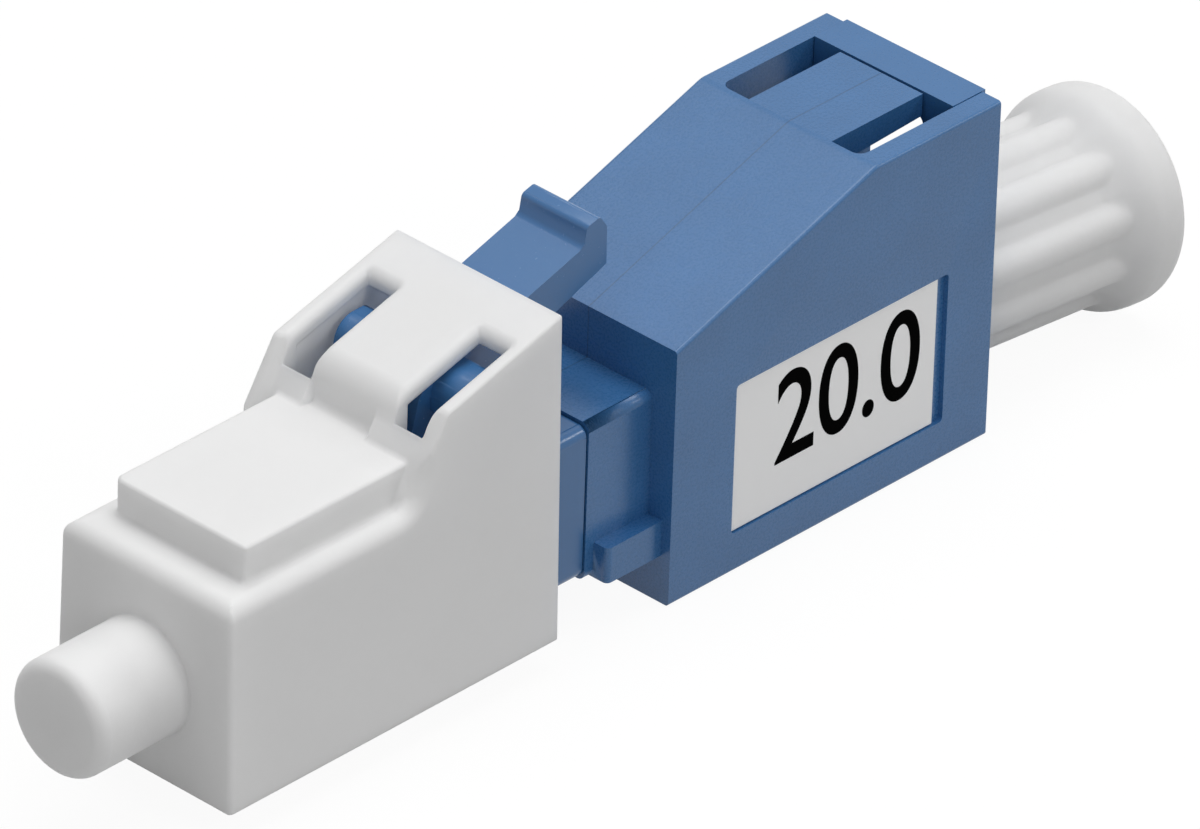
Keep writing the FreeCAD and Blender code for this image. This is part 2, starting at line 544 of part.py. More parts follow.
# Ferrule, doped fibre and flange, which float together against the spring.
ferrule = new_body("ferrule", z="axis_high")
CORE = "(fibre_r + fibre_gap)"
revolve(ferrule, "ferrule_section", [
    (TIP, CORE), (TIP, "ferrule_r - tip_chamfer"), (f"{TIP} + tip_chamfer", "ferrule_r"),
    (f"{CONTACT} - tip_chamfer", "ferrule_r"), (CONTACT, "ferrule_r - tip_chamfer"), (CONTACT, CORE),
])
fibre = new_body("doped_fibre", z="axis_high")
extrude(fibre, "glass", "YZ_Plane", [("0", "0", "fibre_r")], TIP, CONTACT)
flange = new_body("ferrule_flange", z="axis_high")
revolve(flange, "flange_section", [
    (FLANGE, "ferrule_r"), (FLANGE, "flange_r - 0.15"), (f"{FLANGE} + 0.15", "flange_r"),
    (f"{FLANGE} + flange_len", "flange_r"), (f"{FLANGE} + flange_len", "hub_r"),
    (f"{FLANGE} + flange_len + hub_len", "hub_r"), (f"{FLANGE} + flange_len + hub_len", "ferrule_r"),
])
PAST_FLANGE = "(flange_r + 1)"
for side, low, high in (("upper", "flange_flat", PAST_FLANGE), ("lower", f"0 - {PAST_FLANGE}", "0 - flange_flat")):
    extrude(flange, f"flat_{side}", "YZ_Plane", [rectangle(f"0 - {PAST_FLANGE}", PAST_FLANGE, low, high)],
            f"{FLANGE} - 1", f"{FLANGE} + flange_len + 0.001", cut=True)

# Spring: a wire, six-sided to keep its faces few, wound from the flange to the sleeve holder.
spring = new_body("spring", z="axis_high")
wire = new_sketch(spring, "wire_section", "XZ_Plane", "0")
COIL_START = f"({FLANGE} + flange_len + wire_r + fit_gap)"
add_polygon(wire, [
    (f"{COIL_START} + wire_r * cos({turn})", f"coil_r + wire_r * sin({turn})") for turn in range(0, 360, 60)
])
coil = spring.newObject("PartDesign::AdditiveHelix", "coil")
coil.Profile = wire
coil.ReferenceAxis = (origin_part(spring, "X_Axis"), [""])
coil.Mode = "height-turns-angle"
coil.setExpression("Height", bind(f"{SPRING_SEAT} - {COIL_START} - wire_r - fit_gap"))
coil.setExpression("Turns", bind("spring_turns"))
doc.recompute()

# Dust cap: a box with a raised pad, a sloping hood over the latch and a grip stub.
cap = new_body("dust_cap", x=CAP)
HOOD_FOOT = f"({BEND_X} - {CAP} - hood_ahead)"
BROW_X = f"({HOOD_FOOT} + brow_back)"
HOOD_BROW = f"({arm_top(BEND_X)} + hood_over)"
HOOD_REAR = f"({HOOD_BROW} + (cap_len - {BROW_X}) * tan(hood_rise))"
HOOD_INSIDE = "(hood_wall / cos(hood_rise))"
centred(cap, "cap_block", [[
    ("0", "cap_low"), ("cap_len", "cap_low"), ("cap_len", HOOD_REAR), (BROW_X, HOOD_BROW),
    (f"{BROW_X} - 0.25", f"{HOOD_BROW} - 0.18"), (f"{HOOD_FOOT} + lip_back", "pad_top + lip_high"),
    (f"{HOOD_FOOT} + hood_lean", "pad_top"), (HOOD_FOOT, "cap_step"), ("0", "cap_step"),
]], "cap_wid")
CAP_TOP = f"({HOOD_REAR} + 1)"
for side, sign in (("near", "0 - "), ("far", "0 + ")):
    extrude(cap, f"draft_{side}", "YZ_Plane", [[
        (f"{sign}cap_wid / 2", "cap_low"), (f"{sign}(cap_wid / 2 + 1)", "cap_low"),
        (f"{sign}(cap_wid / 2 + 1)", CAP_TOP),
        (f"{sign}(cap_wid / 2 - ({CAP_TOP} - cap_low) * tan(cap_draft))", CAP_TOP),
    ]], "0 - 1", "cap_len + 1", cut=True)
LEDGE_HALF = "(cap_wid / 2 - (cap_step - cap_low) * tan(cap_draft))"
dress(cap, "cap_edges", "Fillet", "cap_round",
      lambda c, b: (near(c.x, "0") and not near(c.z, "cap_low"))
      or (along_x(b) and near(c.z, "cap_step") and near(abs(c.y), LEDGE_HALF)))
extrude(cap, "pad", "XY_Plane", [rectangle(
    "pad_in", f"{HOOD_FOOT} + lip_back", "0 - pad_wid / 2", "pad_wid / 2",
)], "cap_step - 0.1", "pad_top")
dress(cap, "pad_corners", "Fillet", "pad_round",
      lambda c, b: along_z(b) and near(c.x, "pad_in"))
NOTCH_X = f"({HOOD_FOOT} + notch_back)"
centred(cap, "lip_notch", [[
    (HOOD_FOOT, "pad_top"), (NOTCH_X, "pad_top"), (NOTCH_X, f"{HOOD_BROW} - notch_low"),
    (f"{NOTCH_X} + 0.22", f"{HOOD_BROW} + 1"), (HOOD_FOOT, f"{HOOD_BROW} + 1"),
]], "notch_wid", cut=True)
extrude(cap, "stub", "YZ_Plane", [("0", "stub_high", "stub_r")], "0 - stub_len", "cap_front_wall / 2")
dress(cap, "stub_end", "Fillet", "stub_round", lambda c, b: near(c.x, "0 - stub_len"))
INSIDE = "(nose_wid + 2 * cap_beside)"
CAP_FLOOR = "(axis_high - nose_wid / 2 - cap_under)"
HOOD_BACK = f"({NOTCH_X} + hood_front)"
centred(cap, "cavity", [[
    ("cap_front_wall", CAP_FLOOR), ("cap_len + 1", CAP_FLOOR),
    ("cap_len + 1", f"{HOOD_REAR} + tan(hood_rise) - {HOOD_INSIDE}"),
    (HOOD_BACK, f"{HOOD_BROW} + ({HOOD_BACK} - {BROW_X}) * tan(hood_rise) - {HOOD_INSIDE}"),
    (HOOD_BACK, "cap_step - cap_roof"), ("cap_front_wall", "cap_step - cap_roof"),
]], INSIDE, cut=True)
centred(cap, "pad_cavity", [rectangle(
    "pad_in + cap_roof", f"{HOOD_BACK} + 0.1", "cap_step - cap_roof - 0.1", "pad_top - cap_roof",
)], "pad_wid - 2 * cap_roof", cut=True)
SLOT_X = f"({HOOD_FOOT} + slot_front)"
for side, sign in (("near", "0 - "), ("far", "0 + ")):
    extrude(cap, f"slot_{side}", "XY_Plane", [rectangle(
        SLOT_X, f"{SLOT_X} + slot_len", f"{sign}(slot_mid - slot_wid / 2)", f"{sign}(slot_mid + slot_wid / 2)",
    )], "pad_top - cap_roof / 2", f"{HOOD_REAR} + 1", cut=True)
dress(cap, "slot_corners", "Fillet", "slot_round",
      lambda c, b: b.YLength < 0.01 and b.ZLength > 0.1 and near(c.x, f"{SLOT_X} + slot_len")
      and (near(abs(c.y), "slot_mid - slot_wid / 2") or near(abs(c.y), "slot_mid + slot_wid / 2")))

# Dust plug: a hollow square stem, a ribbed grip and an end rim. It leans in its port.
dust = new_body("dust_plug")
LEAN_AXIS = V(0, size("cos(plug_turn)"), size("0 - sin(plug_turn)"))
dust.Placement = FreeCAD.Placement(V(0, 0, 0), FreeCAD.Rotation(LEAN_AXIS, size("plug_lean")))
dust.setExpression("Placement.Base.x", bind(INSERT_REAR))
dust.setExpression("Placement.Base.z", bind("axis_high - plug_drop"))
dust.setExpression("Placement.Rotation.Angle", bind("plug_lean"))
RIM = "(grip_gap + rim_back)"
revolve(dust, "grip", [
    ("grip_gap", "0"), ("grip_gap", "grip_core_r"), (f"{RIM} - rim_flare", "grip_core_r"),
    (RIM, "grip_core_r + rim_flare"), (RIM, "rim_r"), (f"{RIM} + rim_len", "rim_r"), (f"{RIM} + rim_len", "0"),
])
dress(dust, "rim_front_edge", "Chamfer", "rim_lead",
      lambda c, b: near(b.ZMax, "rim_r") and near(c.x, RIM))
dress(dust, "rim_rear_edge", "Fillet", "rim_round",
      lambda c, b: near(b.ZMax, "rim_r") and near(c.x, f"{RIM} + rim_len"))
extrude(dust, "stem", "YZ_Plane", [rectangle(
    "0 - stem_wid / 2", "stem_wid / 2", "0 - stem_wid / 2", "stem_wid / 2",
)], "0 - stem_len", "grip_gap + 0.2")
dress(dust, "stem_corners", "Fillet", "nose_round", lambda c, b: along_x(b, 1.0) and c.x < 0)
extrude(dust, "stem_bore", "YZ_Plane", [("0", "0", "stem_bore_r")], "0 - stem_len - 1",
        "0 - stem_len + stem_bore_len", cut=True)
rib_sketch = new_sketch(dust, "rib_section", "XZ_Plane", "0")
RIB_AXIS = "(rib_out - rib_r)"
RIB_END = "(grip_gap + rib_len)"
x0, x1, y0, r = size("grip_gap"), size(RIB_END), size(RIB_AXIS), size("rib_r")
rib_sketch.addGeometry(Part.LineSegment(V(x0, y0, 0), V(x1, y0, 0)), False)
rib_sketch.addGeometry(Part.ArcOfCircle(Part.Circle(V(x1 - r, y0, 0), V(0, 0, 1), r), 0, math.pi / 2), False)
rib_sketch.addGeometry(Part.LineSegment(V(x1 - r, y0 + r, 0), V(x0, y0 + r, 0)), False)
rib_sketch.addGeometry(Part.LineSegment(V(x0, y0 + r, 0), V(x0, y0, 0)), False)
for a, b, c, d in ((0, 2, 1, 1), (1, 2, 2, 1), (2, 2, 3, 1), (3, 2, 0, 1)):
    rib_sketch.addConstraint(Sketcher.Constraint("Coincident", a, b, c, d))
pin_point(rib_sketch, 0, 1, "grip_gap", RIB_AXIS)
pin_point(rib_sketch, 0, 2, RIB_END, RIB_AXIS)
pin_point(rib_sketch, 1, 3, f"{RIB_END} - rib_r", RIB_AXIS)
pin_point(rib_sketch, 2, 2, "grip_gap", "rib_out")
round_top = rib_sketch.addConstraint(Sketcher.Constraint("DistanceX", -1, 1, 2, 1, x1 - r))
rib_sketch.setExpression(f"Constraints[{round_top}]", bind(f"{RIB_END} - rib_r"))
rib = dust.newObject("PartDesign::Revolution", "rib")
rib.Profile = rib_sketch
rib.ReferenceAxis = (rib_sketch, ["Edge1"])
rib.Angle = 360.0
doc.recompute()
ribs = dust.newObject("PartDesign::PolarPattern", "ribs")
ribs.Originals = [rib]
ribs.Axis = (origin_part(dust, "X_Axis"), [""])
ribs.Angle = 360.0
ribs.setExpression("Occurrences", bind("rib_count"))
dust.Tip = ribs
doc.recompute()

# Value label in its recess, with bare room for print.
label = new_body("value_label")
LABEL_X = f"({FRONT} + recess_back + label_margin)"
LABEL_Y = "(0 - body_wid / 2 + recess_deep)"
extrude(label, "label_sheet", "XZ_Plane", [rectangle(
    LABEL_X, f"{LABEL_X} + label_len", "recess_low + (recess_high - label_high) / 2",
    "recess_low + (recess_high + label_high) / 2",
)], f"{LABEL_Y} - label_thick", LABEL_Y)

doc.recompute()
broken = [o.Name for o in doc.Objects if set(o.State) & {"Invalid", "Error"}]
if broken:
    raise RuntimeError("these objects failed: " + ", ".join(broken))
os.makedirs("parts", exist_ok=True)
bodies = [o for o in doc.Objects if o.TypeId == "PartDesign::Body"]
for body in bodies:
    shape = body.Shape
    if shape.isNull() or not shape.isValid() or len(shape.Solids) != 1:
        raise RuntimeError(f"{body.Label} is not one sound solid")
for body in bodies:
    body.Shape.exportStep(os.path.join("parts", body.Label + ".step"))
    print(body.Label, round(body.Shape.Volume, 3))
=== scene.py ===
"""Looks of a fibre attenuator: a blue block and plug with a white dust cap and a milky dust plug.

Lengths in the classes are millimetres in the part's frame: the origin is the middle of the
block's underside, +X runs to the female port, -Y is the label's side and +Z is up.
"""

import json
import logging
import math
from dataclasses import dataclass, field
from enum import Enum
from typing import Any, Union

import bmesh
import bpy
import numpy as np
from mathutils import Matrix

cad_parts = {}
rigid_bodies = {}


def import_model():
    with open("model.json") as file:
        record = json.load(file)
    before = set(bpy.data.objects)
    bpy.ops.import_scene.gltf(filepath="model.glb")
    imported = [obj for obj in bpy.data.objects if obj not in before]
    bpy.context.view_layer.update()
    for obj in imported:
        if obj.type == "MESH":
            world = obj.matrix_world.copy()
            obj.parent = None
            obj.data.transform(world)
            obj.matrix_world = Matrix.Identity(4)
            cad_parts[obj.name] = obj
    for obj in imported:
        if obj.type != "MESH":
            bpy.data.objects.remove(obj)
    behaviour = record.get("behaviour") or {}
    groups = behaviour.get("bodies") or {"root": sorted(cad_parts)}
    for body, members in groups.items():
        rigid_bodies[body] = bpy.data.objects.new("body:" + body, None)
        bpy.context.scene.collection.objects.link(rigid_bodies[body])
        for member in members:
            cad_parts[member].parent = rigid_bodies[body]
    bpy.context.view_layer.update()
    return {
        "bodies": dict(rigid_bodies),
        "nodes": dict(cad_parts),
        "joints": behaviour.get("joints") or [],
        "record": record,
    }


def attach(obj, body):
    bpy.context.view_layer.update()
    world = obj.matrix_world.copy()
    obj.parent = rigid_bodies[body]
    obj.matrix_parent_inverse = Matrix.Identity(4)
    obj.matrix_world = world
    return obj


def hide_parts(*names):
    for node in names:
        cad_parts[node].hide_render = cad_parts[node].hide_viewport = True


MM = 0.001

# Edges that turn by more than SHARP stay sharp, and faces within FLAT of each other are one.
# Points within DOUBLES are one, or within COPY_DOUBLES on a mesh that comes from CAD or text.
SHARP = math.radians(32)
FLAT = math.radians(0.6)
DOUBLES = 0.0001
COPY_DOUBLES = 0.0005

# CLOUD_SHARE of a plastic's drift comes from clouds CLOUD_SIZE wide and the rest from its grain,
# and it runs over DRIFT_SPAN of their noise. The rest are parts of gloss and colour, the last
# being the share of colour kept in the line of painted shade that stands for the parting groove.
CLOUD_SIZE = 2.5
CLOUD_DETAIL = 3.0
CLOUD_SHARE = 0.75
DRIFT_FROM = 0.3
DRIFT_SPAN = 0.4
GLOSS_DRIFT = 0.16
PAINTED_GROOVE_SHADE = 0.50

Colour = tuple[float, float, float]
Place = tuple[float, float, float]
Pair = tuple[float, float]
Stretches = tuple[tuple[float, float, float], ...]
Number = Union["Value", float, int]
log = logging.getLogger("fibre_attenuator")


class Value:
    """A number that varies over a surface: one output socket, used with Python's operators."""

    def __init__(self, board: "Board", socket: bpy.types.NodeSocket) -> None:
        """Wrap a socket.

        Args:
            board: the material's nodes.
            socket: the output that carries the number.
        """
        self.board = board
        self.socket = socket

    def _with(self, operation: str, first: Number, second: Number) -> "Value":
        """Add one Math node.

        Args:
            operation: the node's operation.
            first: its first number.
            second: its second number.

        Returns:
            The node's result.
        """
        node = self.board.node("ShaderNodeMath", {"operation": operation}, {0: first, 1: second})
        return Value(self.board, node.outputs[0])

    def __add__(self, other: Number) -> "Value":
        """Return self + other."""
        return self._with("ADD", self, other)

    def __radd__(self, other: Number) -> "Value":
        """Return other + self."""
        return self._with("ADD", other, self)

    def __sub__(self, other: Number) -> "Value":
        """Return self - other."""
        return self._with("SUBTRACT", self, other)

    def __rsub__(self, other: Number) -> "Value":
        """Return other - self."""
        return self._with("SUBTRACT", other, self)

    def __mul__(self, other: Number) -> "Value":
        """Return self * other."""
        return self._with("MULTIPLY", self, other)

    def __rmul__(self, other: Number) -> "Value":
        """Return other * self."""
        return self._with("MULTIPLY", other, self)

    def __truediv__(self, other: Number) -> "Value":
        """Return self / other."""
        return self._with("DIVIDE", self, other)

    def at_least(self, other: Number) -> "Value":
        """Return the larger of self and other."""
        return self._with("MAXIMUM", self, other)

    def at_most(self, other: Number) -> "Value":
        """Return the smaller of self and other."""
        return self._with("MINIMUM", self, other)


class Board:
    """The nodes of one material or world, emptied and ready to be filled."""

    def __init__(self, owner: Union[bpy.types.Material, bpy.types.World]) -> None:
        """Empty the owner's node tree.

        Args:
            owner: a material or a world.
        """
        owner.use_nodes = True
        self.tree = owner.node_tree
        self.tree.nodes.clear()

    def node(self, kind: str, settings: dict[str, Any], inputs: dict[Any, Any]) -> bpy.types.Node:
        """Add a node of any type.

        Args:
            kind: the node's type, such as ShaderNodeBump.
            settings: its own settings, such as a Math node's operation, set first.
            inputs: numbers, colours, sockets or Values by the input's name or place.

        Returns:
            The new node.
        """
        node = self.tree.nodes.new(kind)
        for name, setting in settings.items():
            setattr(node, name, setting)
        for name, value in inputs.items():
            socket = value.socket if isinstance(value, Value) else value
            if isinstance(socket, bpy.types.NodeSocket):
                self.tree.links.new(socket, node.inputs[name])
            elif isinstance(socket, tuple) and len(socket) == 3 and node.inputs[name].type == "RGBA":
                node.inputs[name].default_value = (*socket, 1.0)
            else:
                node.inputs[name].default_value = socket
        return node

    def place(self) -> bpy.types.NodeSocket:
        """Return the surface point in object coordinates, in metres."""
        return self.node("ShaderNodeTexCoord", {}, {}).outputs["Object"]

    def noise(self, grain: float, detail: float = 2.0, stretch: Place = (1.0, 1.0, 1.0)) -> Value:
        """Add noise whose lumps are about grain across.

        Args:
            grain: size of a lump in millimetres.
            detail: octaves of finer noise.
            stretch: scale of the pattern along each axis.

        Returns:
            A number from 0 to 1.
        """
        mapped = self.node("ShaderNodeMapping", {}, {"Vector": self.place(), "Scale": stretch})
        node = self.node("ShaderNodeTexNoise", {}, {
            "Vector": mapped.outputs[0], "Scale": 1.0 / (grain * MM), "Detail": detail, "Roughness": 0.55,
        })
        return Value(self, node.outputs["Fac"])

    def along(self, axis: str) -> Value:
        """Return the place along X, Y or Z, in metres.

        Args:
            axis: the axis's letter.

        Returns:
            The coordinate.
        """
        return Value(self, self.node("ShaderNodeSeparateXYZ", {}, {"Vector": self.place()}).outputs[axis])

    def mixed(self, factor: Number, first: Any, second: Any) -> bpy.types.NodeSocket:
        """Mix two colours.

        Args:
            factor: 0 for the first, 1 for the second.
            first: a colour or a socket.
            second: a colour or a socket.

        Returns:
            The mixed colour.
        """
        node = self.node("ShaderNodeMix", {"data_type": "RGBA"}, {0: factor, 6: first, 7: second})
        return node.outputs[2]

    def bump(self, height: Value, depth: float) -> bpy.types.NodeSocket:
        """Turn a height into a bent normal.

        Args:
            height: a number from 0 to 1.
            depth: what 1 stands for, in millimetres.

        Returns:
            The normal.
        """
        node = self.node("ShaderNodeBump", {}, {"Strength": 1.0, "Distance": depth * MM, "Height": height})
        return node.outputs["Normal"]


class Grain(Enum):
    """Mould textures: size of a lump and its depth, both in millimetres."""

    SPARKED = (0.075, 0.0042)
    SATIN = (0.11, 0.0020)
    SOFT = (0.35, 0.0030)
    PAPER = (0.06, 0.0012)


def shade(colour: Colour, factor: float) -> Colour:
    """Return a colour lightened or darkened by a factor."""
    return tuple(min(1.0, part * factor) for part in colour)


@dataclass(frozen=True)
class Plastic:
    """A moulded plastic: one colour with faint clouds, and a fine mould grain.

    clouds is how far the tone drifts. glow is the share of the light that comes out again
    within glow_depth. parting is half the width of a line of painted shade where the mould's
    halves met, which stands in for the shade in the parting groove.
    """

    name: str
    colour: Colour
    roughness: float
    grain: Grain
    clouds: float = 0.03
    specular: float = 0.5
    glow: float = 0.0
    glow_depth: float = 0.5
    parting: float = 0.0

    def tint(self, board: Board, fine: Value) -> bpy.types.NodeSocket:
        """Add the colour, which drifts over clouds and speckles with the grain.

        In the middle plane it falls to its painted groove shade, by 1 - (y / parting)^2: painted
        shade that stands in for the crease of the parting groove.

        Args:
            board: the material's nodes.
            fine: the grain's noise.

        Returns:
            The colour.
        """
        cloud = board.noise(CLOUD_SIZE, CLOUD_DETAIL)
        drift = (cloud * CLOUD_SHARE + fine * (1 - CLOUD_SHARE) - DRIFT_FROM) / DRIFT_SPAN
        deep, pale = shade(self.colour, 1 - self.clouds), shade(self.colour, 1 + self.clouds)
        tint = board.mixed(drift.at_least(0.0).at_most(1.0), deep, pale)
        if not self.parting:
            return tint
        # Painted shade of the parting groove: the colour darkens towards the middle plane, y = 0.
        across = board.along("Y") / (self.parting * MM)
        return board.mixed((across * across).at_most(1.0), shade(self.colour, PAINTED_GROOVE_SHADE), tint)

    def material(self) -> bpy.types.Material:
        """Build the material: the grain's noise varies roughness too, and its height bends the normal.

        Returns:
            The material, in the finish's name.
        """
        material = bpy.data.materials.new(self.name)
        board = Board(material)
        lump, depth = self.grain.value
        fine = board.noise(lump)
        inputs = {
            "Base Color": self.tint(board, fine),
            "Roughness": (fine - 0.5) * GLOSS_DRIFT + self.roughness,
            "Normal": board.bump(fine, depth),
            "Specular IOR Level": self.specular,
        }
        if self.glow:
            inputs["Subsurface Weight"] = self.glow
            inputs["Subsurface Radius"] = (1.0, 1.0, 1.0)
            inputs["Subsurface Scale"] = self.glow_depth * MM
        surface = board.node("ShaderNodeBsdfPrincipled", {}, inputs)
        board.node("ShaderNodeOutputMaterial", {}, {"Surface": surface.outputs[0]})
        return material


@dataclass(frozen=True)
class Turned:
    """A bare metal with fine tool marks round the optical axis."""

    name: str
    colour: Colour
    roughness: float
    gloss_drift: float = 0.2
    tones: Pair = (0.92, 1.05)
    ring: float = 0.5
    detail: float = 3.0
    squeeze: Place = (12.0, 1.0, 1.0)
    depth: float = 0.0008

    def material(self) -> bpy.types.Material:
        """Build the material: noise squeezed along X makes rings, which vary gloss and height.

        Returns:
            The material, in the finish's name.
        """
        material = bpy.data.materials.new(self.name)
        board = Board(material)
        rings = board.noise(self.ring, self.detail, self.squeeze)
        deep, pale = (shade(self.colour, tone) for tone in self.tones)
        surface = board.node("ShaderNodeBsdfPrincipled", {}, {
            "Base Color": board.mixed(rings, deep, pale),
            "Metallic": 1.0,
            "Roughness": (rings - 0.5) * self.gloss_drift + self.roughness,
            "Normal": board.bump(rings, self.depth),
        })
        board.node("ShaderNodeOutputMaterial", {}, {"Surface": surface.outputs[0]})
        return material


@dataclass(frozen=True)
class Polished:
    """A hard polished piece: zirconia, or the glass of the doped fibre."""

    name: str
    colour: Colour
    clarity: float = 0.0
    cloud: float = 0.4
    tones: Pair = (0.98, 1.02)
    roughness: float = 0.14
    gloss_drift: float = 0.05
    coat: float = 0.6
    coat_roughness: float = 0.06

    def material(self) -> bpy.types.Material:
        """Build the material: a clear coat over a body with faint clouds.

        Returns:
            The material, in the finish's name.
        """
        material = bpy.data.materials.new(self.name)
        board = Board(material)
        cloud = board.noise(self.cloud)
        deep, pale = (shade(self.colour, tone) for tone in self.tones)
        surface = board.node("ShaderNodeBsdfPrincipled", {}, {
            "Base Color": board.mixed(cloud, deep, pale),
            "Roughness": (cloud - 0.5) * self.gloss_drift + self.roughness,
            "Coat Weight": self.coat,
            "Coat Roughness": self.coat_roughness,
            "Transmission Weight": self.clarity,
        })
        board.node("ShaderNodeOutputMaterial", {}, {"Surface": surface.outputs[0]})
        return material


# The shell's blue carries a line of painted shade along y = 0 that stands in for the parting groove.
BLUE_SHELL = Plastic("shell_blue_painted_groove_shade", (0.042, 0.154, 0.362), 0.28, Grain.SPARKED, 0.08, 0.50, parting=0.022)
BLUE_INSERT = Plastic("insert_blue", (0.042, 0.154, 0.362), 0.30, Grain.SPARKED, 0.06, 0.50)
BLUE_PLUG = Plastic("plug_blue", (0.036, 0.142, 0.340), 0.22, Grain.SATIN, 0.03, 0.50)
BLUE_LATCH = Plastic("latch_blue", (0.043, 0.157, 0.370), 0.24, Grain.SATIN, 0.03, 0.50)
WHITE_CAP = Plastic("cap_white", (0.86, 0.86, 0.86), 0.52, Grain.SOFT, 0.010, 0.28, 0.6, 0.7)
MILKY_PLUG = Plastic("milky_plug", (0.76, 0.76, 0.76), 0.50, Grain.SOFT, 0.02, 0.2, 0.9, 1.5)
LABEL_STOCK = Plastic("label_stock", (0.98, 0.98, 0.98), 0.50, Grain.PAPER, 0.01, 0.50)
PRINT_INK = Plastic("print_ink", (0.003, 0.003, 0.003), 0.8, Grain.PAPER, 0.01, 0.0)
ZIRCONIA = Polished("zirconia", (0.90, 0.89, 0.85))
FIBRE_GLASS = Polished("fibre_glass", (0.90, 0.93, 0.94), 0.6)
NICKEL = Turned("nickel", (0.72, 0.69, 0.62), 0.28)
SPRING_STEEL = Turned("drawn_wire", (0.56, 0.56, 0.57), 0.30)


def dress(piece: bpy.types.Object, finish: Union[Plastic, Turned, Polished]) -> None:
    """Give an object one finish.

    Args:
        piece: the object.
        finish: its finish, built once and shared.
    """
    material = bpy.data.materials.get(finish.name) or finish.material()
    piece.data.materials.clear()
    piece.data.materials.append(material)


def add_object(name: str, mesh: bpy.types.Mesh) -> bpy.types.Object:
    """Put a mesh into the scene as an object at the origin.

    Args:
        name: the object's name.
        mesh: its mesh, in metres.

    Returns:
        The object.
    """
    piece = bpy.data.objects.new(name, mesh)
    bpy.context.scene.collection.objects.link(piece)
    return piece


def close_mesh(mesh: bpy.types.Mesh, distance: float) -> None:
    """Merge a mesh's doubles and turn its faces outwards.

    Args:
        mesh: the mesh, in metres.
        distance: how near two doubles lie, in millimetres.
    """
    work = bmesh.new()
    work.from_mesh(mesh)
    bmesh.ops.remove_doubles(work, verts=work.verts, dist=distance * MM)
    bmesh.ops.recalc_face_normals(work, faces=work.faces)
    work.to_mesh(mesh)
    work.free()


def grid_mesh(name: str, points: np.ndarray) -> bpy.types.Object:
    """Make a closed surface from rings of points.

    Quad (r, c) joins rings r and r + 1 between columns c and c + 1, and the last column
    joins the first. A ring whose points fall together is a pole.

    Args:
        name: the object's name.
        points: rings by columns by 3, in millimetres.

    Returns:
        The object, with smooth faces.
    """
    rings, columns, _ = points.shape
    ring, column = np.meshgrid(np.arange(rings - 1), np.arange(columns), indexing="ij")
    here = ring * columns + column
    beside = ring * columns + (column + 1) % columns
    quads = np.stack([here, beside, beside + columns, here + columns], axis=-1).reshape(-1, 4)
    return quad_mesh(name, points.reshape(-1, 3), quads)


def quad_mesh(name: str, points: np.ndarray, quads: np.ndarray) -> bpy.types.Object:
    """Make an object from points and quads.

    Args:
        name: the object's name.
        points: n by 3, in millimetres.
        quads: m by 4 indices.

    Returns:
        The object, closed, with smooth faces.
    """
    mesh = bpy.data.meshes.new(name)
    mesh.vertices.add(len(points))
    mesh.vertices.foreach_set("co", (points * MM).astype(np.float32).ravel())
    mesh.loops.add(quads.size)
    mesh.loops.foreach_set("vertex_index", quads.astype(np.int32).ravel())
    mesh.polygons.add(len(quads))
    mesh.polygons.foreach_set("loop_start", np.arange(0, quads.size, 4, dtype=np.int32))
    mesh.update(calc_edges=True)
    close_mesh(mesh, DOUBLES)
    mesh.shade_smooth()
    return add_object(name, mesh)


